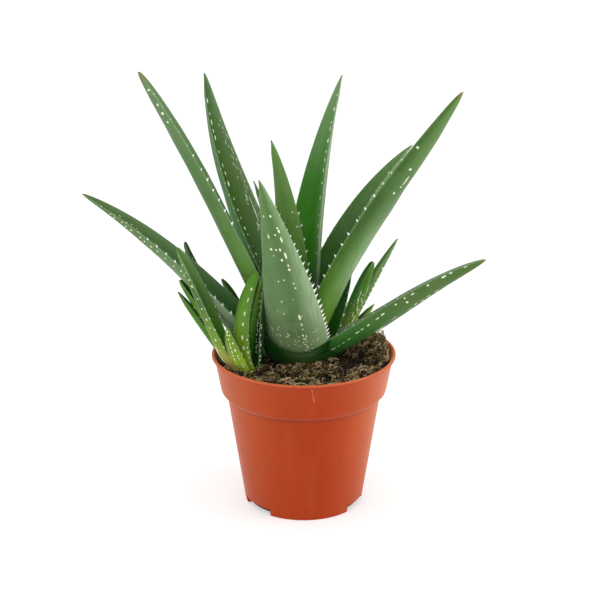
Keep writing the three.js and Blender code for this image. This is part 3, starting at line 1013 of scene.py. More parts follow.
@dataclass
class LeafBuilder:
    """Makes a leaf's mesh: its blade, its teeth and its flecks, in one piece.

    `swells` and `dents` are the repeats for each millimetre and the depth in millimetres.
    """

    shape: LeafShape
    skin: Finish
    tooth: Pattern
    bead: Pattern
    seed: int
    across: int = 15
    swells: tuple[float, float] = (0.045, 0.4)
    dents: tuple[float, float] = (0.12, 0.08)
    form: LeafForm = field(init=False)

    def __post_init__(self) -> None:
        """Works out the leaf's form."""
        self.form = LeafForm(self.shape)

    def rings(self) -> int:
        """Returns the number of rings of points along the blade."""
        return int(26 + self.shape.length * 0.34)

    def waviness(self, points: np.ndarray, out: np.ndarray, at: np.ndarray) -> np.ndarray:
        """Gives a surface the slow swells and dents of a grown leaf.

        Args:
            points: the surface's points, in millimetres.
            out: directions out of it.
            at: places along the leaf.

        Returns:
            The moved points.
        """
        far_x, far_y = Vector((self.seed, 0, 0)), Vector((0, self.seed, 0))
        waves = ((*self.swells, far_x), (*self.dents, far_y))
        shift = np.zeros(len(points))
        for fine, deep, far in waves:
            shift += [noise.noise(Vector(p) * fine + far) * deep for p in points]
        fade = np.clip((1 - at) * 6, 0, 1) * np.clip(at * 12, 0, 1)
        return points + out * (shift * fade)[:, None]

    def blade(self) -> Piece:
        """Lays out a grid round the leaf and closes it.

        Returns:
            The blade, with what its skin needs stored on it.
        """
        rings, across = self.rings(), self.across
        walk = np.concatenate(
            [
                np.sin(np.linspace(-1, 1, across) * math.pi / 2),
                [1.0],
                np.sin(np.linspace(1, -1, across) * math.pi / 2),
                [-1.0, -1.0],
            ]
        )
        under = np.concatenate([np.zeros(across), [0.5], np.ones(across), [0.5, 0.0]])
        columns = len(walk)
        along = np.concatenate([[0.0], np.linspace(0, LAST_RING, rings) ** 1.1, TIP_RINGS])
        rows = len(along)
        piece = Bench.grid(self.shape.name + "_blade", columns, rows)
        at = np.repeat(along, columns)
        u = np.tile(walk, rows)
        v = np.tile(under, rows)
        points = self.form.point(at, u, v)
        _, out = self.form.surface(at, u, np.round(v))
        points = self.waviness(points, out, at)
        grid = points.reshape(rows, columns, 3)
        grid[0] = grid[1].mean(0)
        grid[-1] = grid[-2].mean(0) + (grid[-2].mean(0) - grid[-5].mean(0)) * 0.2
        Bench.place(piece, grid)
        half, _, _ = self.form.section(at)
        shift = np.where(v > 0.5, UNDER_CHART, 0.0)
        Bench.chart(piece, u * half / 10 + shift, at * self.shape.length / 10)
        self.store(piece, at, u, v)
        Bench.weld(piece)
        return piece

    def colours(self, at: np.ndarray, v: np.ndarray) -> np.ndarray:
        """Mixes the leaf's colours along it.

        Args:
            at: places along the leaf.
            v: which face.

        Returns:
            Linear colours, one row each.
        """
        tone = self.shape.tone
        mixed = []
        for hues in (tone.upper, tone.under or tone.upper):
            table = np.array([hue.linear() for hue in hues])
            mixed.append(
                np.stack([np.interp(at, SPREAD_AT, table[:, k]) for k in range(3)], -1)
            )
        share = np.clip(v, 0, 1)[:, None]
        return mixed[0] * (1 - share) + mixed[1] * share

    def store(
        self,
        piece: Piece,
        at: np.ndarray,
        u: np.ndarray,
        v: np.ndarray,
        fleck: np.ndarray | None = None,
        tooth: np.ndarray | None = None,
    ) -> None:
        """Stores what the skin reads on every point.

        Args:
            piece: the mesh.
            at: places along the leaf.
            u: places across it.
            v: which face.
            fleck: how pale a fleck is at each point.
            tooth: how much a point belongs to a tooth.
        """
        none = np.zeros(len(at))
        tone = self.shape.tone
        # wax bloom and painted sheen towards each margin
        left, middle, right = tone.bloom_and_sheen
        side = np.where(u < 0, left, right)
        bloom_and_sheen = middle + (side - middle) * np.abs(u) ** 2.4
        # a band of painted sheen low on the under face, stored with the wax bloom
        low = np.clip((0.66 - at) * 3.5, 0, 1) * np.clip((at - 0.22) * 7, 0, 1) * (v > 0.5)
        bloom_and_sheen = bloom_and_sheen + tone.painted_light * low * np.exp(-(((u - tone.painted_light_at) / PAINTED_LIGHT_WIDTH) ** 2))
        edge = np.clip((np.abs(u) - MARGIN_FROM) / (1 - MARGIN_FROM), 0, 1)
        edge = edge * np.clip(at * 9, 0, 1) * 0.3
        dry = np.clip((at - 0.975) / 0.02, 0, 1) * tone.dry
        # a darker band lengthwise, painted shade on the front and the right leaf
        dark_band = np.exp(-(((u - tone.dark_band_at) / DARK_BAND_WIDTH) ** 2)) * tone.dark_band
        dark_band = dark_band * np.clip((at - 0.15) * 4, 0, 1)
        Bench.mark(piece, "dark_band", dark_band if tooth is None else none)
        Bench.mark(piece, "tone", self.colours(at, v))
        Bench.mark(piece, "bloom_and_sheen", np.clip(bloom_and_sheen, 0, 1))
        Bench.mark(piece, "margin", edge if tooth is None else none)
        Bench.mark(piece, "fleck", none if fleck is None else fleck)
        Bench.mark(piece, "tooth", none if tooth is None else tooth)
        Bench.mark(piece, "dry", dry)

    def tooth_places(self, rng: random.Random) -> list[Place]:
        """Spaces the teeth along both margins, closer and larger near the foot.

        Args:
            rng: the leaf's own random numbers.

        Returns:
            Place along the leaf, side and size of each tooth.
        """
        teeth = self.shape.teeth
        places = []
        for side in (-1.0, 1.0):
            at = teeth.start + rng.random() * teeth.near / self.shape.length
            while at < teeth.end:
                swell = math.sin(math.pi * min(at + 0.25, 1.0)) ** 0.5
                size = teeth.size * (0.45 + 0.55 * swell) * rng.uniform(*TOOTH_SIZES)
                size *= teeth.minus if side < 0 else teeth.plus
                places.append((at, side, size))
                step = teeth.near + (teeth.far - teeth.near) * min(at * 1.9, 1.0)
                at += step * rng.uniform(*TOOTH_STEPS) / self.shape.length
        return places

    def teeth_mesh(self, rng: random.Random) -> Piece | None:
        """Copies the tooth to each of its places.

        Args:
            rng: the leaf's own random numbers.

        Returns:
            One mesh with all the leaf's teeth.
        """
        places = self.tooth_places(rng)
        if not places:
            return None
        pattern = self.tooth[0]
        at, side, size = np.array(places).T
        root = self.form.point(at, side, np.full(len(at), 0.5))
        along, face, across = self.form.frame(at)
        _, angle, _ = self.form.section(at)
        lifted = np.sin(angle) + self.shape.teeth.lift
        outward = across * (side * np.cos(angle))[:, None] + face * lifted[:, None]
        outward /= np.linalg.norm(outward, axis=1, keepdims=True)
        up = np.cross(along, outward)
        lean = along * TOOTH_LEAN + outward
        lean /= np.linalg.norm(lean, axis=1, keepdims=True)
        body = (root - lean * TOOTH_SUNK)[:, None, :]
        for k, way in enumerate((along, up, lean)):
            body = body + way[:, None, :] * (pattern[None, :, k : k + 1] * size[:, None, None])
        points = body.reshape(-1, 3)
        faces = Bench.repeated(self.tooth, len(at))
        piece = Bench.solid(self.shape.name + "_teeth", points, faces)
        piece.data.uv_layers.new(name="UVMap")
        whiteness = np.tile(np.clip(pattern[:, 2] * 3.0 + 0.1, 0, 1), len(at))
        at, side = (np.repeat(value, len(pattern)) for value in (at, side))
        self.store(piece, at, side, np.full(len(points), 0.5), tooth=whiteness)
        Bench.weld(piece, 0.001)
        return piece

    def fleck_places(self, rng: random.Random) -> list[tuple[float, float, float, float, float]]:
        """Spaces the pale flecks along the leaf's rows.

        Args:
            rng: the leaf's own random numbers.

        Returns:
            Place along, place across, face, half width and half length of each fleck.
        """
        under = float(Face.UNDER.value)
        places = [
            (spot.at, spot.across, under, spot.width / 2, spot.length / 2)
            for spot in self.shape.spots
        ]
        for row in self.shape.rows:
            at = row.start + rng.random() * row.step / self.shape.length
            while at < row.end:
                part = (at - row.start) / max(row.end - row.start, 1e-6)
                across = row.across + row.drift * part + rng.uniform(-1, 1) * row.spread
                width = row.width * rng.uniform(*FLECK_WIDTHS) / 2
                length = row.length * rng.uniform(*FLECK_LENGTHS) / 2
                if abs(across) < FLECK_EDGE:
                    places.append((at, across, float(row.face.value), width, length))
                at += row.step * rng.uniform(*FLECK_STEPS) / self.shape.length
        return places

    def flecks_mesh(self, rng: random.Random) -> Piece | None:
        """Lays a thin raised bead on the skin for each fleck.

        Args:
            rng: the leaf's own random numbers.

        Returns:
            One mesh with all the leaf's flecks.
        """
        places = np.array(self.fleck_places(rng))
        if len(places) == 0:
            return None
        pattern = self.bead[0]
        at, u, v, width, length = (np.repeat(column, len(pattern)) for column in places.T)
        shape = np.tile(pattern, (len(places), 1))
        half, _, _ = self.form.section(at)
        here_at = np.clip(at + shape[:, 1] * length / self.shape.length, 0.001, 0.999)
        here_u = np.clip(u + shape[:, 0] * width / half, -0.985, 0.985)
        base, out = self.form.surface(here_at, here_u, v)
        height = shape[:, 2] * BEAD_HEIGHT - BEAD_SUNK
        points = self.waviness(base, out, here_at) + out * height[:, None]
        faces = Bench.repeated(self.bead, len(places))
        piece = Bench.solid(self.shape.name + "_flecks", points, faces)
        piece.data.uv_layers.new(name="UVMap")
        reach = np.hypot(shape[:, 0], shape[:, 1])
        self.store(piece, here_at, here_u, v, fleck=np.clip(1.7 - reach * 1.3, 0, 1))
        Bench.weld(piece, 0.001)
        return piece

    def build(self) -> Piece:
        """Makes the leaf, dresses it and ties it to the part.

        Returns:
            The finished leaf.
        """
        rng = random.Random(self.seed)
        parts = [self.blade(), self.teeth_mesh(rng), self.flecks_mesh(rng)]
        piece = Bench.join(self.shape.name + "_leaf", [part for part in parts if part])
        Bench.smooth(piece, 60)
        Bench.stand_for(piece, self.skin, self.shape.slot, self.shape.name)
        return piece


@dataclass
class Patterns:
    """The tooth and the bead that every leaf copies."""

    tooth_sides: int = 6
    tooth_root: float = 0.62
    tooth_flat: float = 0.4
    bead_sides: int = 8

    @staticmethod
    def read(piece: Piece) -> Pattern:
        """Takes the points and faces of a small pattern piece and removes it."""
        points = Bench.points(piece) * MM
        faces = [list(face.vertices) for face in piece.data.polygons]
        bpy.data.objects.remove(piece)
        return points, faces

    def tooth(self) -> Pattern:
        """Models one hooked tooth of height 1, leaning along the leaf.

        Returns:
            Its points and faces.
        """
        Bench.clear()
        bpy.ops.mesh.primitive_circle_add(
            vertices=self.tooth_sides, radius=self.tooth_root, fill_type="NGON"
        )
        piece = bpy.context.object
        bpy.ops.object.mode_set(mode="EDIT")
        bpy.ops.mesh.select_all(action="SELECT")
        bpy.ops.transform.resize(value=(1.0, self.tooth_flat, 1.0))
        for height, narrowing, hook in ((0.3, 0.62, 0.04), (0.36, 0.5, 0.14), (0.34, 0.12, 0.2)):
            bpy.ops.mesh.extrude_region_move(
                TRANSFORM_OT_translate={"value": (hook, 0.0, height)}
            )
            bpy.ops.transform.resize(value=(narrowing, narrowing, 1.0))
        bpy.ops.object.mode_set(mode="OBJECT")
        return self.read(piece)

    def bead(self) -> Pattern:
        """Models one round bead of radius 1.

        Returns:
            Its points and faces.
        """
        Bench.clear()
        bpy.ops.mesh.primitive_uv_sphere_add(segments=self.bead_sides, ring_count=4, radius=1)
        return self.read(bpy.context.object)


def leaf_table() -> list[LeafShape]:
    """Lists the leaves, from the heart of the rosette outwards and then each offshoot's.

    Returns:
        Every leaf's shape, colours, teeth and rows of flecks.
    """
    H, up, low = Hue, Face.UPPER, Face.UNDER
    deep = (H.FOREST, H.FOREST, H.LEAF, H.MEADOW)
    big, young = Slot.LEAF, Slot.YOUNG
    small_teeth = Teeth(near=5.0, far=8.0, size=1.6, start=0.2, end=0.94)
    fine_teeth = Teeth(near=4.5, far=6.5, size=1.0, start=0.2, end=0.92)
    front_spots = (
        Spot(0.845, -0.45, 1.18, 1.9), Spot(0.84, 0.05, 0.96, 1.6), Spot(0.79, -0.6, 0.98, 1.5),
        Spot(0.775, -0.62, 1.11, 2.9), Spot(0.735, -0.6, 1.04, 4.5), Spot(0.66, -0.55, 1.11, 5.5),
        Spot(0.61, -0.53, 0.96, 2.1), Spot(0.59, -0.52, 1.41, 2.2), Spot(0.75, -0.06, 0.98, 3.4),
        Spot(0.76, -0.4, 0.98, 1.5), Spot(0.69, -0.07, 1.48, 2.2), Spot(0.69, -0.27, 1.04, 1.5),
        Spot(0.69, -0.42, 1.11, 2.4), Spot(0.66, -0.12, 0.74, 1.1), Spot(0.64, -0.38, 1.33, 2.1),
        Spot(0.52, -0.52, 0.82, 1.4), Spot(0.495, -0.53, 0.9, 1.5), Spot(0.54, -0.27, 0.82, 1.3),
        Spot(0.42, -0.05, 0.98, 1.3), Spot(0.35, -0.05, 0.9, 1.3), Spot(0.36, 0.12, 0.66, 0.9),
        Spot(0.335, -0.42, 1.33, 5.2), Spot(0.29, -0.42, 0.96, 2.9), Spot(0.26, -0.42, 0.9, 1.4),
    )
    # The darkest hues low on the rosette's leaves, NIGHT, PINE and FOREST, are partly painted
    # shade where the leaves crowd the crown.
    return [
        LeafShape(
            "leaf_heart", big, 146, 80, -12, 0, 113, 13, 4, (55, 55), 0.78, 0.02,
            Tone(deep), sway=4, ring=4, foot_z=102, foot_rise=88, clasp=110,
        ),
        LeafShape(
            "leaf_inner_front", big, -106.2, 85, -18, -3, 158, 25, 6, (50, 55), 0.8, 0.02,
            Tone(deep, (H.SPROUT, H.GRASS, H.IVY, H.HERB), (0.1, 0.0, 0.1)),
            sway=-6, swerve=-3, roll=(0, -4), ring=5, foot_z=101, foot_rise=88, clasp=110,
            teeth=Teeth(near=5.5, far=9.0, size=2.4, plus=0.4),
            rows=(Row(low, -0.7, 0.5, 0.72, 16, 1.0, 1.2, 0.1),),
        ),
        LeafShape(
            "leaf_back", big, 58, 90, -29, 4, 181, 31, 5.5, (50, 45), 0.78, 0.02,
            Tone(
                (H.SPROUT, H.SPROUT, H.EMERALD, H.FROST), (H.GRASS, H.SPRING, H.HERB, H.SAGE),
                (0.05, 0.0, 1.0),
            ),
            sway=-8, swerve=-2, roll=(0, -9), ring=6, foot_z=101, foot_rise=88, clasp=110,
            teeth=Teeth(near=6.0, far=10.0, size=2.0, plus=0.5),
            rows=(Row(up, 0.76, 0.36, 0.97, 7.5, 1.5, 2.8, 0.02, -0.6),),
        ),
        LeafShape(
            "leaf_back_right", big, 36.3, 76, -36, -3, 155, 29, 5.5, (50, 45), 0.67, 0.02,
            Tone((H.PINE, H.BOTTLE, H.MEADOW, H.HERB), (H.GRASS, H.SPRING, H.HERB, H.SAGE)),
            sway=-6, swerve=-2, roll=(0, -5), ring=8, foot_z=99, foot_rise=82, clasp=90,
            teeth=Teeth(near=5.0, far=8.0, size=1.7),
            rows=(
                Row(up, 0.72, 0.5, 0.98, 3.6, 1.7, 2.4, 0.16),
                Row(up, 0.42, 0.6, 0.97, 4.5, 1.6, 2.2, 0.16),
            ),
        ),
        LeafShape(
            "leaf_back_left", big, 134, 54, 2, 28, 192, 42, 4.5, (58, 60), 0.72, 0.02,
            Tone(
                (H.PINE, H.FOREST, H.OLIVE, H.MEADOW), (H.PINE, H.BOTTLE, H.DUSK, H.MEADOW),
                (0.0, 0.0, 0.75), dark_band=0.5,
            ),
            sway=4, swerve=3, roll=(24, 2), ring=8, foot_z=99, foot_rise=82, clasp=90,
            teeth=Teeth(near=6.5, far=9.0, size=1.5),
            rows=(
                Row(up, 0.12, 0.28, 0.95, 7.2, 1.4, 3.6, 0.02, -0.22),
                Row(up, 0.74, 0.44, 0.56, 4, 0.7, 6.0, 0.08),
                Row(up, 0.76, 0.42, 0.84, 2.0, 0.42, 2.4, 0.16),
                Row(low, 0.4, 0.1, 0.9, 11, 0.9, 2.5, 0.3),
            ),
        ),
        LeafShape(
            "leaf_upper_left", big, 189, 65.5, 3, -10, 210, 27, 6.5, (36, 52), 0.46, 0.02,
            Tone(
                (H.LEAF, H.LEAF, H.MEADOW, H.SAGE), (H.LIME, H.FRESH, H.MEADOW, H.SAGE),
                (0.1, 0.0, 0.1), dry=0.6,
            ),
            sway=-2, swerve=-5, roll=(6, -6), ring=9, foot_z=99, foot_rise=82, clasp=90,
            teeth=Teeth(near=6.5, far=8.5, size=2.3, start=0.47, plus=0.45, lift=0.8),
            rows=(Row(low, -0.8, 0.8, 0.97, 9, 1.3, 1.8, 0.03),),
        ),
        LeafShape(
            "leaf_right", big, -34, 73, -47.5, 31, 220, 31, 7.5, (46, 60), 0.58, 0.02,
            Tone(
                (H.LEAF, H.LEAF, H.MEADOW, H.MEADOW), (H.LIME, H.FRESH, H.MEADOW, H.HERB),
                (0.1, 0.05, 0.0), dry=0.9, dark_band=0.85, dark_band_at=0.85, painted_light=0.9, painted_light_at=0.15,
            ),
            sway=-1, swerve=-1, roll=(18, -5), ring=9, foot_z=99, foot_rise=82, clasp=90,
            teeth=Teeth(near=6.0, far=10.0, size=2.3),
            spots=(
                Spot(0.8, 0.8, 1.3, 2.0), Spot(0.73, 0.45, 1.4, 2.0), Spot(0.69, 0.3, 0.8, 9.0),
                Spot(0.665, 0.33, 1.0, 1.6), Spot(0.64, 0.45, 1.0, 2.2),
            ),
        ),
        LeafShape(
            "leaf_front", Slot.SAGE, -98, 51, 37, -14, 151, 46, 6, (44, 60), 0.78, 0.06,
            Tone(
                deep, (H.PALE, H.SAGE, H.MOSS, H.HERB), (0.85, 0.02, 0.75),
                dry=0.5, dark_band=0.85, dark_band_at=-0.42, painted_light=0.5, painted_light_at=-0.9,
            ),
            sway=-20, swerve=-13, roll=(-10, -10), ring=12, foot_z=98, foot_rise=72, clasp=80,
            teeth=Teeth(near=3.2, far=5.8, size=2.8, start=0.11, end=0.9, plus=0.3),
            rows=(
                Row(low, -0.1, 0.14, 0.24, 0.42, 0.85, 1.15, 0.7),
                Row(low, -0.42, 0.1, 0.24, 2.6, 1.2, 2.2, 0.05),
                Row(low, 0.0, 0.09, 0.16, 1.6, 0.9, 1.2, 0.55),
                Row(low, -0.1, 0.22, 0.6, 11, 0.8, 1.1, 0.5),
            ),
            spots=front_spots,
        ),
        # its bluish green half way up is a painted sheen
        LeafShape(
            "leaf_behind_right", big, 5, 62, 42, -33, 88, 24, 5, (26, 26), 0.84, 0.1,
            Tone((H.BOTTLE, H.EMERALD, H.DUSK, H.BOTTLE)),
            roll=(41, 45), ring=16, foot_z=97, foot_rise=85, clasp=100,
            teeth=Teeth(near=5.0, far=8.5, size=2.4, start=0.12),
        ),
        LeafShape(
            "leaf_lower_right", big, -14, 28.7, 30.5, -32.2, 132.5, 31.5, 8, (30, 55), 0.6, 0.05,
            Tone(
                (H.NIGHT, H.DUSK, H.STEEL, H.STEEL), (H.PINE, H.BOTTLE, H.LEAF, H.LEAF),
                (1.0, 0.05, 0.1), dry=0.7,
            ),
            swerve=-3, roll=(-8, -8), ring=14, foot_z=97, foot_rise=50, clasp=60,
            teeth=Teeth(near=6.5, far=9.5, size=1.2, start=0.12),
            rows=(
                Row(low, 0.66, 0.12, 0.5, 5.6, 0.65, 4.2, 0.02, 0.22),
                Row(low, 0.9, 0.52, 0.97, 8.0, 0.75, 2.8, 0.02, 0.06),
                Row(low, 0.3, 0.44, 0.75, 9, 0.45, 5.0, 0.12),
                Row(up, -0.8, 0.1, 0.8, 9, 0.8, 1.3, 0.1),
            ),
            spots=(
                Spot(0.375, 0.3, 0.8, 10.0), Spot(0.58, 0.74, 1.4, 1.8), Spot(0.6, 0.38, 0.8, 2.6),
            ),
        ),
        LeafShape(
            "leaf_lower_left", big, 187, 48, 7, -25, 166, 26, 7.5, (48, 40), 0.66, 0.04,
            Tone(
                (H.DUSK, H.DUSK, H.MEADOW, H.LEAF), (H.MIST, H.MIST, H.SAGE, H.LEAF),
                (0.1, 0.0, 0.4), dry=0.5,
            ),
            sway=-2, swerve=-4, roll=(-12, -12), ring=16, foot_z=97, foot_rise=50, clasp=60,
            teeth=Teeth(near=7.0, far=8.0, size=2.4, start=0.2, plus=0.4, lift=0.8),
            rows=(
                Row(low, -0.6, 0.28, 0.42, 5.0, 0.9, 2.0, 0.1),
                Row(low, -0.85, 0.4, 0.9, 5.2, 0.8, 1.6, 0.06),
                Row(up, -0.35, 0.56, 0.84, 4.4, 0.7, 1.5, 0.22, 0.3),
            ),
        ),
        LeafShape(
            "shoot_left_leaf_1", young, -160, 68, 60, -6, 68, 17, 4, (40, 55), 0.4, 0.32,
            Tone(
                (H.YELLOW, H.LIME, H.FRESH, H.FRESH), (H.YELLOW, H.LIME, H.FRESH, H.SPRING),
                dark_band=0.4, dark_band_at=-0.95,
            ),
            swerve=4, roll=(0, -6), foot=(-36, -15), teeth=fine_teeth,
            rows=(
                Row(low, -0.7, 0.2, 0.88, 6.6, 0.8, 3.0, 0.02),
                Row(low, -0.93, 0.05, 0.36, 4.2, 0.8, 2.4, 0.02),
                Row(low, -0.4, 0.05, 0.3, 4.5, 0.7, 2.4, 0.15),
            ),
        ),
        # its dark green low down is painted shade from the leaves beside it
        LeafShape(
            "shoot_left_leaf_2", young, 1, 88, -22, 12, 62, 13.5, 4, (50, 45), 0.7, 0.15,
            Tone((H.LIME, H.PINE, H.SPRING, H.LIME)),
            swerve=-3, roll=(6, 0), foot=(-36.5, -9.5), teeth=fine_teeth,
        ),
        LeafShape(
            "shoot_left_leaf_3", young, 20, 88, -2, -4, 55, 11, 3.5, (42, 50), 0.5, 0.28,
            Tone((H.PINE, H.NIGHT, H.NIGHT, H.BOTTLE)),
            roll=(8, 0), foot=(-30, -14), teeth=fine_teeth,
            rows=(
                Row(up, -0.3, 0.15, 0.97, 2.3, 1.3, 2.0, 0.16, -0.05),
                Row(up, 0.5, 0.05, 0.7, 4.0, 1.0, 1.8, 0.12),
                Row(low, 0.92, 0.05, 0.6, 3.2, 0.9, 2.0, 0.05),
            ),
        ),
        LeafShape(
            "shoot_left_leaf_4", young, 184, 61.6, 28, -30, 90, 15, 5.5, (35, 44), 0.5, 0.26,
            Tone(
                (H.HAY, H.GRASS, H.LEAF, H.HERB), (H.HAY, H.LIME, H.LEAF, H.SPRING),
                (0.1, 0.0, 0.1),
            ),
            sway=-8, swerve=-6, roll=(-8, -22), foot=(-43, -16.5),
            teeth=small_teeth,
            rows=(
                Row(low, -0.82, 0.16, 0.95, 6.4, 0.6, 1.6, 0.02, -0.1),
                Row(low, -0.15, 0.05, 0.75, 7.0, 0.55, 1.5, 0.1),
                Row(low, -0.45, 0.03, 0.24, 2.2, 0.7, 4.0, 0.2),
            ),
        ),
        LeafShape(
            "shoot_left_leaf_5", young, -131, 60, 6, 14, 37, 11, 3.5, (46, 45), 0.53, 0.15,
            Tone((H.YELLOW, H.YELLOW, H.LIME, H.FRESH)),
            sway=-3, foot=(-39, -22), teeth=fine_teeth,
            rows=(
                Row(low, -0.28, 0.08, 0.96, 2.6, 0.65, 2.2, 0.04),
                Row(low, -0.66, 0.2, 0.96, 3.8, 0.8, 1.7, 0.04),
            ),
        ),
        LeafShape(
            "shoot_left_leaf_6", young, 170.5, 58, 0, -5, 67, 13.5, 4, (45, 45), 0.4, 0.15,
            Tone((H.LIME, H.GRASS, H.SPRING, H.SPRING), (H.LIME, H.SPRING, H.SPRING, H.SPRING)),
            foot=(-43, -8), teeth=fine_teeth,
            rows=(Row(low, -0.5, 0.1, 0.8, 5, 0.8, 1.4, 0.2),),
        ),
        LeafShape(
            "shoot_left_leaf_7", young, 179.5, 44, 38, -30, 61, 11, 3.5, (45, 45), 0.52, 0.15,
            Tone((H.LIME, H.GRASS, H.GRASS, H.GRASS), (H.LIME, H.SPRING, H.GRASS, H.GRASS)),
            foot=(-44, -5), teeth=fine_teeth,
            rows=(Row(low, -0.2, 0.1, 0.7, 4, 0.9, 1.2, 0.4),),
        ),
        LeafShape(
            "shoot_right_leaf_1", young, 7, 77, -12, 0, 61, 17, 5, (46, 44), 0.38, 0.23,
            Tone((H.YELLOW, H.LIME, H.SPROUT, H.GRASS), (H.YELLOW, H.LIME, H.GRASS, H.GRASS)),
            foot=(26, 28), teeth=fine_teeth,
            rows=(
                Row(low, 0.5, 0.2, 0.75, 1.5, 0.5, 2.2, 0.32),
                Row(low, 0.85, 0.25, 0.7, 2.2, 0.6, 2.4, 0.1),
                Row(up, -0.3, 0.15, 0.7, 5, 0.7, 1.4, 0.3),
            ),
        ),
        LeafShape(
            "shoot_right_leaf_2", young, 10, 65, -8, 0, 80, 11, 4, (47, 45), 0.6, 0.14,
            Tone((H.GRASS, H.SPRING, H.HERB, H.HERB), (H.FRESH, H.SPRING, H.HERB, H.HERB)),
            foot=(24, 35), teeth=fine_teeth,
            rows=(Row(low, 0.5, 0.2, 0.95, 3.4, 1.1, 1.5, 0.16),),
        ),
        LeafShape(
            "shoot_right_leaf_3", young, 4, 62, -6, -10, 33, 10.5, 3.5, (50, 45), 0.7, 0.16,
            Tone((H.LIME, H.LIME, H.LIME, H.FRESH), (H.YELLOW, H.YELLOW, H.LIME, H.LIME)),
            foot=(28.5, 31), teeth=fine_teeth,
            rows=(Row(low, 0.2, 0.1, 0.9, 5, 0.8, 1.2, 0.3),),
        ),
        LeafShape(
            "shoot_back_leaf_1", young, 167, 47, 10, 18, 83, 13, 4, (45, 46), 0.42, 0.16,
            Tone((H.GRASS, H.LEAF, H.LEAF, H.FOREST), (H.LIME, H.GRASS, H.LEAF, H.FOREST)),
            foot=(-36, 26), teeth=small_teeth,
            rows=(
                Row(low, -0.4, 0.1, 0.95, 6, 0.9, 1.3, 0.3),
                Row(up, 0.5, 0.2, 0.9, 7, 0.8, 1.2),
            ),
        ),
        LeafShape(
            "shoot_back_leaf_2", young, 150, 84, -24, -16, 47, 9, 3.5, (45, 45), 0.45, 0.15,
            Tone((H.GRASS, H.LEAF, H.FOREST, H.FOREST), (H.LIME, H.GRASS, H.LEAF, H.FOREST)),
            foot=(-39, 31), teeth=fine_teeth,
            rows=(Row(low, 0.0, 0.1, 0.9, 6, 0.8, 1.2, 0.4),),
        ),
    ]


@dataclass
class Foliage:
    """All the leaves of the plant and its offshoots, and the bands round its crown."""

    seed: int = SEED

    def build(self) -> None:
        """Makes every leaf and every band."""
        patterns = Patterns()
        tooth, bead = patterns.tooth(), patterns.bead()
        looks = {
            Slot.LEAF: LeafSkin("rosette_skin"),
            Slot.SAGE: LeafSkin("front_leaf_skin", 0.46, 0.36, 0.6, 0.04, 0.06, scar=5.0),
            Slot.YOUNG: LeafSkin("offshoot_skin", 0.36, 0.3, 0.25, 0.1, 0.02),
        }
        skins = {slot: look.material() for slot, look in looks.items()}
        for order, shape in enumerate(leaf_table()):
            LeafBuilder(shape, skins[shape.slot], tooth, bead, self.seed + 17 * order).build()
        Collar().build(skins[Slot.LEAF])


@dataclass(frozen=True)
class Band:
    """A clasping leaf foot: the path of its lip and of its lower edge, in millimetres, and the
    colours of its painted shade and painted light.
    """

    name: str
    lip: tuple[Place, ...]
    low: tuple[Place, ...]
    shade: Hue
    light: Hue
    thick: float = 1.3
    bulge: float = 1.2


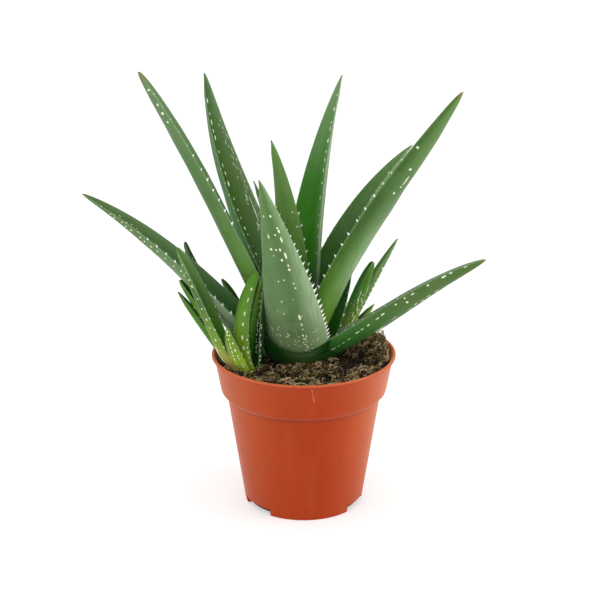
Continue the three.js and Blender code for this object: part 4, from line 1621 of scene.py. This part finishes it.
@dataclass
class Collar:
    """The outer leaves' feet where they wrap round the front of the crown.

    They carry painted light near `painted_light_at`, a place along them from -1 to 1, and painted
    shade towards both ends.
    """

    steps: int = 64
    layers: int = 10
    painted_light_at: float = -0.12
    painted_light_width: float = 0.3

    def bands(self) -> list[Band]:
        """Lists the bands, from the inner one outwards."""
        return [
            Band(
                "crown_inner_band",
                (
                    (23.0, -6.0, 116.0), (15.5, -13.2, 114.6), (8.5, -16.9, 111.6),
                    (1.4, -18.0, 108.9), (-8.9, -17.3, 109.2), (-18.0, -15.4, 112.3),
                    (-24.6, -11.2, 115.8), (-27.5, -4.5, 117.5),
                ),
                (
                    (15.0, -3.0, 103.0), (11.0, -6.0, 99.0), (6.5, -7.5, 98.0),
                    (0.5, -8.5, 97.5), (-7.5, -8.5, 97.5), (-14.5, -7.5, 98.5),
                    (-20.5, -5.0, 101.0), (-23.0, -2.0, 104.0),
                ),
                Hue.NIGHT, Hue.SAGE,
            ),
            Band(
                "crown_outer_band",
                (
                    (26.0, 1.0, 104.0), (17.5, -9.6, 107.4), (9.0, -14.6, 106.0),
                    (0.5, -16.0, 104.6), (-8.5, -15.4, 104.8), (-17.0, -13.2, 107.2),
                    (-24.4, -9.6, 110.2), (-28.0, -4.5, 111.6),
                ),
                (
                    (21.0, 3.0, 98.0), (13.5, -4.0, 97.0), (7.0, -7.0, 96.5),
                    (0.0, -7.6, 96.2), (-8.0, -7.2, 96.2), (-15.0, -6.0, 96.6),
                    (-21.0, -4.0, 98.4), (-24.0, -1.0, 100.0),
                ),
                Hue.NIGHT, Hue.IVY,
            ),
        ]

    def through(self, stops: tuple[Place, ...]) -> np.ndarray:
        """Draws a smooth path through a few places.

        Args:
            stops: the places it passes.

        Returns:
            Evenly numbered points of the path.
        """
        knots = np.array([stops[0], *stops, stops[-1]])
        walk = np.linspace(0, len(stops) - 1 - 1e-6, self.steps)
        whole = walk.astype(int)
        t = (walk - whole)[:, None]
        a, b, c, d = (knots[whole + k] for k in range(4))
        bend, twist = 2 * a - 5 * b + 4 * c - d, 3 * b - a - 3 * c + d
        return 0.5 * (2 * b + (c - a) * t + bend * t**2 + twist * t**3)

    def band(self, band: Band, skin: Finish) -> None:
        """Makes one band and dresses it.

        Args:
            band: its paths and colours.
            skin: the leaf skin it wears.
        """
        lip, low = self.through(band.lip), self.through(band.low)
        out = lip - (*STEM_AT, 0.0)
        out[:, 2] = 0
        out /= np.linalg.norm(out, axis=1, keepdims=True)
        layer = np.linspace(0, 1, self.layers)
        loop = np.concatenate([layer, layer[::-1], [0.0]])
        face = np.concatenate([np.ones(self.layers), np.zeros(self.layers), [1.0]])
        edge = np.clip(loop * self.layers - self.layers + 2, 0, 1)
        away = band.bulge * np.sin(loop * math.pi * 0.85) * (0.4 + 0.6 * face)
        away = away - band.thick * np.where(face > 0.5, 0.28 * edge, 1 - 0.28 * edge)
        columns, rows = len(loop), self.steps + 2
        order = [0, *range(self.steps), self.steps - 1]
        here = low[order][:, None] + (lip - low)[order][:, None] * loop[None, :, None]
        points = here + out[order][:, None] * away[None, :, None]
        points[0], points[-1] = points[1].mean(0), points[-2].mean(0)
        piece = Bench.grid(band.name, columns, rows)
        Bench.place(piece, points)
        share = np.repeat(np.linspace(-1, 1, rows), columns)
        self.store(piece, band, share, np.tile(loop, rows))
        Bench.weld(piece)
        Bench.smooth(piece, 75)
        Bench.stand_for(piece, skin, Slot.LEAF)

    def store(self, piece: Piece, band: Band, share: np.ndarray, height: np.ndarray) -> None:
        """Stores what the skin reads: painted light low in the middle, painted shade at both ends.

        Args:
            piece: the band.
            band: its colours.
            share: place along the band, -1 to 1.
            height: place up the band, 0 to 1.
        """
        # painted light low in the middle of the band, painted shade towards its ends
        painted_light = np.exp(-(((share - self.painted_light_at) / self.painted_light_width) ** 2))
        painted_light = (painted_light * np.clip(1.2 - height * 0.9, 0, 1))[:, None]
        tone = band.shade.linear() * (1 - painted_light) + band.light.linear() * painted_light
        Bench.mark(piece, "tone", tone)
        for name in ("bloom_and_sheen", "dark_band", "margin", "fleck", "tooth", "dry"):
            Bench.mark(piece, name, np.zeros(len(share)))
        Bench.chart(piece, share * 3, height)

    def build(self, skin: Finish) -> None:
        """Makes every band.

        Args:
            skin: the leaf skin they wear.
        """
        for band in self.bands():
            self.band(band, skin)


# ---------------------------------------------------------------- pot


@dataclass
class Pot:
    """Round tapered nursery pot with a rim band and three drain notches, in millimetres."""

    height: float = 103.0
    lip_radius: float = 60.0
    lip_height: float = 2.2
    band_top: float = 58.2
    band_foot: float = 54.4
    band_foot_z: float = 79.0
    shoulder: float = 50.4
    shoulder_z: float = 75.5
    foot: float = 38.8
    wall: float = 1.4
    floor: float = 1.8
    steps: int = 180
    notch_headings: tuple[float, ...] = (-143.5, -23.5, 96.5)
    # heading where the painted sheen is least; it is strongest at the left and right sides
    least_sheen_heading: float = -80.0
    notch_half: float = 19.5
    notch_inner: float = 33.0
    notch_height: float = 4.8
    notch_wall: float = 1.3
    drain_radius: float = 2.6
    drain_at: float = 36.4
    drain_z: float = 4.9
    drain_depth: float = 5.8
    # strength of the painted sheen on the left and on the right side
    side_sheen: tuple[float, float] = (0.4, 0.9)
    # how dark the painted shade in the crease under the band is
    crease_shade: float = 0.42

    def outside(self) -> list[tuple[float, float]]:
        """Returns the outer wall from the foot to the lip."""
        return [
            (self.foot - 0.5, 0.0),
            (self.foot, 0.5),
            (self.shoulder - 0.4, self.shoulder_z - 2.2),
            (self.shoulder - 0.1, self.shoulder_z - 0.9),
            (self.shoulder + 0.9, self.shoulder_z + 0.5),
            (self.band_foot - 1.6, self.band_foot_z - 1.9),
            (self.band_foot - 0.5, self.band_foot_z - 0.7),
            (self.band_foot, self.band_foot_z + 0.9),
            (self.band_top - 0.1, self.height - self.lip_height - 0.5),
            (self.band_top + 0.3, self.height - self.lip_height),
            (self.lip_radius - 0.25, self.height - self.lip_height + 0.35),
            (self.lip_radius, self.height - self.lip_height + 0.8),
            (self.lip_radius, self.height - 0.75),
            (self.lip_radius - 0.3, self.height - 0.2),
            (self.lip_radius - 0.9, self.height),
        ]

    def inside(self) -> list[tuple[float, float]]:
        """Returns the inner wall from the lip down to the floor."""
        return [
            (self.band_top - self.wall + 1.6, self.height),
            (self.band_top - self.wall + 1.2, self.height - 0.5),
            (self.band_top - self.wall, self.height - self.lip_height),
            (self.band_foot - 0.8 - self.wall, self.band_foot_z),
            (self.shoulder - 0.4 - self.wall, self.shoulder_z - 1.0),
            (self.foot - self.wall, self.floor),
        ]

    def block(self, heading: float, half: float, corners: list[tuple[float, float]]) -> Piece:
        """Makes a piece of a ring round the axis from its four corners."""
        return Bench.turned("block", corners, 16, heading - half, 2 * half)

    def build(self) -> None:
        """Makes the pot, opens its notches and dresses it."""
        profile = [(0.0, 0.0), *self.outside(), *self.inside(), (0.0, self.floor)]
        piece = Bench.turned("pot_shell", profile, self.steps)
        top = self.notch_height + self.notch_wall
        inner = self.notch_inner - self.notch_wall
        lean = (self.shoulder - self.foot) / self.shoulder_z
        outer = self.foot - 0.5
        for heading in self.notch_headings:
            extra = math.degrees(self.notch_wall / self.notch_inner)
            housing = [(inner, 0.4), (outer, 0.4), (outer + lean * top, top), (inner, top)]
            Bench.cut(piece, self.block(heading, self.notch_half + extra, housing), "UNION")
        for heading in self.notch_headings:
            far = self.foot + 8
            cavity = [
                (self.notch_inner, -1.0),
                (far, -1.0),
                (far, self.notch_height),
                (self.notch_inner, self.notch_height),
            ]
            Bench.cut(piece, self.block(heading, self.notch_half, cavity), "DIFFERENCE")
            turn = math.radians(heading)
            Bench.clear()
            bpy.ops.mesh.primitive_cylinder_add(
                vertices=24,
                radius=self.drain_radius * MM,
                depth=self.drain_depth * MM,
                location=(
                    self.drain_at * math.cos(turn) * MM,
                    self.drain_at * math.sin(turn) * MM,
                    self.drain_z * MM,
                ),
            )
            Bench.cut(piece, bpy.context.object, "DIFFERENCE")
        Bench.weld(piece)
        self.wear(piece)
        Bench.smooth(piece, 34)
        Bench.stand_for(piece, PotPlastic().material(), Slot.POT, "pot")

    def wear(self, piece: Piece) -> None:
        """Marks the rubbed lip, the painted sheen on the sides and the painted shade under the
        band.
        """
        points = Bench.points(piece)
        radius = np.hypot(points[:, 0], points[:, 1])
        # painted sheen: lighter on the left and right sides, none in front and behind, less
        # towards the foot
        turn = np.arctan2(points[:, 1], points[:, 0]) - math.radians(self.least_sheen_heading)
        side = np.sin(turn) ** 2 * np.where(np.sin(turn) > 0, self.side_sheen[1], self.side_sheen[0])
        Bench.mark(piece, "fade", side * np.clip(points[:, 2] / self.height + 0.25, 0, 1))
        # painted shade in the crease under the rim band, where the band overhangs it
        under = np.abs(points[:, 2] - self.shoulder_z + 0.2) < 1.0
        outer = radius > self.shoulder - 0.8
        Bench.mark(piece, "crease_shade", np.where(under & outer, self.crease_shade, 0.0))
        lip = np.clip((points[:, 2] - self.height + 1.3) / 0.8, 0, 1) * 0.5
        lip = lip * np.clip((radius - self.band_top + 1.5) / 1.0, 0, 1)
        Bench.mark(piece, "wear", lip)


# ---------------------------------------------------------------- soil and moss


@dataclass
class Ground:
    """Height of the soil in the pot, with the mossy mound behind on the right.

    `lumps` and `grit` are the repeats for each millimetre and the height in millimetres.
    """

    level: float = 97.6
    edge_rise: float = 1.9
    edge_from: float = 40.0
    edge_width: float = 15.0
    swell: float = 0.9
    lumps: tuple[tuple[float, float], ...] = ((0.33, 1.1), (0.8, 0.7))
    grit: tuple[float, float] = (1.9, 0.8)
    sunk: float = 0.7
    mound: tuple[float, float] = (45.0, 16.0)
    mound_height: float = 6.2
    mound_spread: float = 13.0
    mound_scatter: tuple[float, float] = (7.0, 8.0)
    reach: float = 55.9

    def height(self, x: float, y: float) -> float:
        """Returns the height of the soil at a place, in millimetres."""
        away = math.hypot(x - self.mound[0], y - self.mound[1]) / self.mound_spread
        waves = math.sin(x * 0.61 + 1) * math.cos(y * 0.53)
        waves += 0.6 * math.sin(x * 0.27 - y * 0.35)
        edge = min(max((math.hypot(x, y) - self.edge_from) / self.edge_width, 0), 1)
        height = self.level + self.mound_height * math.exp(-away * away) + self.swell * waves
        return height + self.edge_rise * edge * edge * (3 - 2 * edge)

    def crumbs(self, x: float, y: float) -> float:
        """Returns the small rough lumps on top of that height."""
        place = Vector((x, y, 3.0))
        height = sum(noise.noise(place * fine) * deep for fine, deep in self.lumps)
        return height + abs(noise.noise(place * self.grit[0])) * self.grit[1] - self.sunk


@dataclass
class Soil:
    """Dark peat that fills the pot, with loose crumbs on it."""

    ground: Ground
    steps: int = 150
    rings: int = 64
    crumbs: int = 420
    gap: float = 0.35

    def body(self) -> Piece:
        """Makes the filling and roughens its surface.

        Returns:
            The filling as a closed piece.
        """
        pot = Pot()
        lower = [(0.0, pot.floor + self.gap)]
        for radius, z in reversed(pot.inside()[3:]):
            lower.append((radius - self.gap, z + self.gap))
        rim = self.ground.reach
        level = self.ground.level
        lower.append((rim - 0.3, level - 4))
        top = [(rim * (1 - (i / self.rings) ** 1.02), level) for i in range(self.rings)]
        piece = Bench.turned("soil_peat", [*lower, *top, (0.0, level)], self.steps)
        points = Bench.points(piece)
        for row in points:
            if abs(row[2] - level) < 0.01:
                x, y = float(row[0]), float(row[1])
                row[2] = self.ground.height(x, y) + self.ground.crumbs(x, y)
        Bench.place(piece, points)
        return piece

    def lumps(self) -> Piece:
        """Scatters small angular crumbs over the surface.

        Returns:
            All the crumbs in one mesh.
        """
        Bench.clear()
        bpy.ops.mesh.primitive_ico_sphere_add(subdivisions=1, radius=1)
        pattern = Patterns.read(bpy.context.object)
        rng = random.Random(SEED + 5)
        points = []
        for _ in range(self.crumbs):
            reach = self.ground.reach * math.sqrt(rng.random()) * 0.98
            turn = rng.uniform(0, math.tau)
            x, y = reach * math.cos(turn), reach * math.sin(turn)
            size = rng.uniform(0.5, 1.6)
            lift = self.ground.height(x, y) + self.ground.crumbs(x, y) + size * 0.25
            spin = Euler((rng.uniform(0, 6), rng.uniform(0, 6), rng.uniform(0, 6)))
            flat = Vector((1.0, rng.uniform(0.6, 1.0), rng.uniform(0.45, 0.8)))
            for corner in pattern[0]:
                shaped = Vector(corner * rng.uniform(0.8, 1.15)) * size
                shaped = Vector(a * b for a, b in zip(shaped, flat))
                shaped.rotate(spin)
                points.append(np.array(shaped) + (x, y, lift))
        return Bench.solid("soil_crumbs", points, Bench.repeated(pattern, self.crumbs))

    def build(self) -> None:
        """Makes the soil and dresses it."""
        peat = Fibre("dark_peat", "#060403", "#0d0906", "#1c130b", 0.95)
        body = self.body()
        Bench.smooth(body, 50)
        Bench.stand_for(body, peat.material(), Slot.SOIL, "soil")
        crumb = Fibre("peat_crumbs", "#120c06", "#251a0d", "#40301a", 0.9)
        crumbs = self.lumps()
        Bench.weld(crumbs, 0.0001)
        Bench.stand_for(crumbs, crumb.material(), Slot.SOIL)


@dataclass(frozen=True)
class StrandKind:
    """One kind of fibre strand on the soil; sizes in millimetres."""

    name: str
    finish: Fibre
    count: int
    length: tuple[float, float]
    radius: tuple[float, float]
    curl: float
    in_tufts: float
    lift: float


@dataclass
class Litter:
    """Curled fibres, moss and pale roots that cover the soil.

    `bare` are places and reaches with little moss, whose dark peat is partly painted shade below
    the leaves, `tall` the places and heights of the tufts that show in front and along the rim;
    the rest are scattered.
    """

    ground: Ground
    points: int = 10
    tufts: int = 170
    on_mound: float = 0.2
    bare: tuple[Place, ...] = ((30.0, 1.0, 10.0), (-21.0, -1.0, 11.0), (-17.0, -12.0, 6.0))
    bare_share: float = 0.94
    back_share: float = 0.72
    side_share: float = 0.4
    back: tuple[float, float] = (-128.0, 110.0)
    front: float = -40.0
    tall: tuple[Place, ...] = (
        (24.5, 47.0, 7.0), (20.0, 46.0, 6.0), (46.0, 22.0, 6.0), (-26.0, 49.0, 8.0),
        (-22.0, 49.0, 8.0), (52.5, 17.0, 8.0), (-53.0, -5.0, 5.0), (-51.0, -14.0, 4.5),
        (-54.0, 4.0, 5.0), (-52.5, 11.0, 5.0), (53.5, 8.0, 5.0), (53.0, 1.0, 4.0),
        (54.0, 13.0, 6.0), (51.0, -9.0, 3.5),
    )
    tuft_spread: float = 2.1
    tuft_height: tuple[float, float] = (1.4, 4.6)
    centres: list[Place] = field(default_factory=list)

    def kinds(self) -> list[StrandKind]:
        """Lists the kinds of strand, from the lowest layer up."""
        brown = Fibre("brown_fibre", "#2b1b0c", "#4d331c", "#0e0804")
        tan = Fibre("tan_moss", "#a17e50", "#e0c99f", "#4a3018")
        olive = Fibre("olive_moss", "#4a4015", "#7f7034", "#1c1807")
        straw = Fibre("pale_root", "#cbb98a", "#e6d9b2", "#9a8353")
        green = Fibre("green_moss", "#5d7a2a", "#83a040", "#3f5a1c")
        return [
            StrandKind("soil_brown_fibres", brown, 1500, (6, 15), (0.14, 0.28), 4.0, 0.75, 1.4),
            StrandKind("soil_olive_moss", olive, 1350, (3.5, 8), (0.14, 0.28), 6.0, 0.9, 1.8),
            StrandKind("soil_tan_fibres", tan, 1150, (3.5, 9), (0.18, 0.34), 6.5, 0.95, 2.2),
            StrandKind("soil_green_moss", green, 130, (3, 7), (0.15, 0.26), 4.0, 0.8, 1.6),
            StrandKind("soil_pale_roots", straw, 110, (9, 24), (0.14, 0.26), 2.4, 0.6, 2.6),
        ]

    def bareness(self, x: float, y: float) -> float:
        """Returns how bare of moss the soil is at a place, 0 to 1."""
        # the bare spots and the barer right side leave dark peat showing, partly as painted shade
        # below the leaves
        if any(math.hypot(x - at_x, y - at_y) < reach for at_x, at_y, reach in self.bare):
            return self.bare_share
        heading = math.degrees(math.atan2(y, x))
        if heading < self.back[0] or heading > self.back[1]:
            return self.back_share
        return 0.0 if heading < self.front else self.side_share

    def scatter(self) -> None:
        """Picks where the moss grows in tufts."""
        rng = random.Random(SEED + 90)
        ground = self.ground
        self.centres = list(self.tall)
        while len(self.centres) < self.tufts:
            if rng.random() < self.on_mound:
                x, y = (
                    middle + rng.gauss(0, spread)
                    for middle, spread in zip(ground.mound, ground.mound_scatter)
                )
            else:
                reach = ground.reach * math.sqrt(rng.random())
                turn = rng.uniform(0, math.tau)
                x, y = reach * math.cos(turn), reach * math.sin(turn)
                if rng.random() < self.bareness(x, y):
                    continue
            self.centres.append((x, y, rng.uniform(*self.tuft_height)))

    def start(self, kind: StrandKind, rng: random.Random) -> Place:
        """Picks where a strand begins and how high its tuft is there.

        Args:
            kind: the kind of strand.
            rng: random numbers.

        Returns:
            The place and the tuft's height, in millimetres.
        """
        if rng.random() < kind.in_tufts:
            x, y, top = rng.choice(self.centres)
            away = min(abs(rng.gauss(0, 1)), 2.2)
            turn = rng.uniform(0, math.tau)
            reach = away * self.tuft_spread
            height = top * math.exp(-away * away * 0.5) * rng.random() ** 0.5
            return x + reach * math.cos(turn), y + reach * math.sin(turn), height
        reach = self.ground.reach * math.sqrt(rng.random())
        turn = rng.uniform(0, math.tau)
        return reach * math.cos(turn), reach * math.sin(turn), 0.2

    def strand(self, kind: StrandKind, rng: random.Random) -> list[tuple[Vector, float]]:
        """Lets one strand wander over the soil.

        Args:
            kind: the kind of strand.
            rng: random numbers.

        Returns:
            Its points and the radius at each, in millimetres.
        """
        ground = self.ground
        x, y, base = self.start(kind, rng)
        length = rng.uniform(*kind.length)
        radius = rng.uniform(*kind.radius)
        heading = rng.uniform(0, math.tau)
        curl = rng.gauss(0, kind.curl) / length
        bow = rng.random() ** 1.4 * kind.lift
        wave = rng.uniform(0, math.tau)
        step = length / (self.points - 1)
        limit = ground.reach - 0.4
        made = []
        for i in range(self.points):
            part = i / (self.points - 1)
            reach = math.hypot(x, y)
            if reach > limit:
                x, y = x * limit / reach, y * limit / reach
                heading += 1.2
            z = ground.height(x, y) + ground.crumbs(x, y) * 0.6 + base * (1 - 0.35 * part)
            z += bow * math.sin(math.pi * min(part * 1.15 + 0.05, 1.0))
            z += 0.35 * math.sin(wave + part * kind.curl * 1.6)
            made.append((Vector((x, y, z)), radius * (1.0 - 0.7 * part**2)))
            heading += curl * step + rng.gauss(0, 0.4)
            x += math.cos(heading) * step
            y += math.sin(heading) * step
        return made

    def tube(self, name: str, strands: list[list[tuple[Vector, float]]]) -> Piece:
        """Turns strands into thin closed tubes.

        Args:
            name: the piece's name.
            strands: points and radii.

        Returns:
            One mesh with all of them.
        """
        curve = bpy.data.curves.new(name, "CURVE")
        curve.dimensions = "3D"
        curve.bevel_depth = MM
        curve.bevel_resolution = 0
        curve.use_fill_caps = True
        for strand in strands:
            spline = curve.splines.new("POLY")
            spline.points.add(len(strand) - 1)
            for point, (place, radius) in zip(spline.points, strand):
                point.co = (*(place * MM), 1.0)
                point.radius = radius
        piece = bpy.data.objects.new(name, curve)
        bpy.context.scene.collection.objects.link(piece)
        Bench.pick(piece)
        bpy.ops.object.convert(target="MESH")
        piece = bpy.context.object
        bpy.ops.object.shade_smooth()
        return piece

    def build(self) -> None:
        """Makes every kind of strand and dresses it."""
        self.scatter()
        for order, kind in enumerate(self.kinds()):
            rng = random.Random(SEED + 100 + order)
            strands = [self.strand(kind, rng) for _ in range(kind.count)]
            piece = self.tube(kind.name, strands)
            Bench.stand_for(piece, kind.finish.material(), Slot.SOIL)


# ---------------------------------------------------------------- studio


@dataclass(frozen=True)
class Softbox:
    """A large soft light: place, width and height in metres, power in watts."""

    name: str
    place: Place
    size: tuple[float, float]
    power: float
    tint: Place = (1.0, 1.0, 1.0)

    def hang(self, aim: Place) -> None:
        """Hangs the light so that it faces a place.

        Args:
            aim: the place that it faces, in metres.
        """
        light = bpy.data.lights.new(self.name, "AREA")
        light.shape = "RECTANGLE"
        light.size, light.size_y = self.size
        light.energy = self.power
        light.color = self.tint
        lamp = bpy.data.objects.new(self.name, light)
        bpy.context.scene.collection.objects.link(lamp)
        lamp.location = self.place
        way = Vector(aim) - Vector(self.place)
        lamp.rotation_euler = way.to_track_quat("-Z", "Y").to_euler()


@dataclass
class Studio:
    """Pale floor, soft lights and the camera of the front view, whose eye is in millimetres.

    `low` and `high` are the brightness of the surroundings at the horizon and from the
    height `full` up; the floor's width is in metres.
    """

    lens: float = 105.0
    tilt: float = 19.4
    eye: Place = (-2.45, -1064.8, 515.3)
    low: float = 0.55
    high: float = 1.12
    full: float = 0.6
    floor_width: float = 200.0
    aim: Place = (0.0, 0.0, 0.13)
    lights: tuple[Softbox, ...] = (
        Softbox("key_left", (-1.25, -0.55, 0.95), (0.9, 1.2), 2.6, (1.0, 0.99, 0.97)),
        Softbox("fill_right", (1.25, -0.2, 0.6), (0.9, 1.2), 6.0),
        Softbox("front", (-0.15, -1.5, 0.75), (1.0, 0.8), 3.0),
    )

    def air(self, world: bpy.types.World) -> None:
        """Makes the surroundings bright overhead and dim towards the horizon.

        Seen past the floor's edge they are as white as the floor.

        Args:
            world: the scene's world.
        """
        tree = world.node_tree
        back = tree.nodes["Background"]
        place = tree.nodes.new("ShaderNodeTexCoord")
        parts = tree.nodes.new("ShaderNodeSeparateXYZ")
        tree.links.new(place.outputs["Generated"], parts.inputs["Vector"])
        fade = tree.nodes.new("ShaderNodeMapRange")
        tree.links.new(parts.outputs["Z"], fade.inputs["Value"])
        for socket, value in zip(fade.inputs[1:5], (0.0, self.full, self.low, self.high)):
            socket.default_value = value
        ray = tree.nodes.new("ShaderNodeLightPath")
        seen = tree.nodes.new("ShaderNodeMath")
        seen.operation = "MAXIMUM"
        tree.links.new(fade.outputs["Result"], seen.inputs[0])
        tree.links.new(ray.outputs["Is Camera Ray"], seen.inputs[1])
        tree.links.new(seen.outputs["Value"], back.inputs["Strength"])
        back.inputs["Color"].default_value = (1.0, 1.0, 1.0, 1.0)

    def build(self) -> None:
        """Sets up the floor, the lights, the background and the camera."""
        scene = bpy.context.scene
        scene.view_settings.view_transform = "Standard"
        scene.view_settings.look = "None"
        Bench.clear()
        bpy.ops.mesh.primitive_plane_add(size=self.floor_width, location=(0, 0, 0))
        floor = bpy.context.object
        floor.name = "studio_floor"
        floor.data.materials.append(Plain("pale_floor", "#cfcfce", 0.9, 0.0, 0.42).material())
        world = bpy.data.worlds.new("studio_air")
        world.use_nodes = True
        self.air(world)
        scene.world = world
        for light in self.lights:
            light.hang(self.aim)
        camera = bpy.data.cameras.new("front_view")
        camera.lens = self.lens
        camera.sensor_width = 36.0
        camera.clip_start = 0.05
        eye = bpy.data.objects.new("front_view", camera)
        scene.collection.objects.link(eye)
        eye.location = Vector(self.eye) * MM
        eye.rotation_euler = (math.radians(90 - self.tilt), 0.0, 0.0)
        scene.camera = eye


# ---------------------------------------------------------------- assembly


def dress_stems(nodes: dict[str, Piece]) -> None:
    """Gives the stems, which stay as they are, their pale skin.

    Args:
        nodes: the part's own solids by name.
    """
    skin = Plain("stem_skin", "#8a9a5a", 0.6, 0.4).material()
    for name, piece in nodes.items():
        if name.endswith("stem"):
            Bench.dress(piece, skin)


def corners(box: tuple) -> list[list[float]]:
    """Turns a box's two corners into plain lists."""
    return [[float(value) for value in corner] for corner in box]


def main() -> None:
    """Builds the studio, the pot, the soil and the plant."""
    logging.basicConfig(level=logging.INFO, format="%(message)s")
    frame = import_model()
    Studio().build()
    dress_stems(frame["nodes"])
    ground = Ground()
    steps: list[tuple[str, Callable[[], None]]] = [
        ("pot", Pot().build),
        ("soil", Soil(ground).build),
        ("litter", Litter(ground).build),
        ("foliage", Foliage().build),
    ]
    for name, build in steps:
        LOG.info("building %s", name)
        build()


if __name__ == "__main__":
    main()
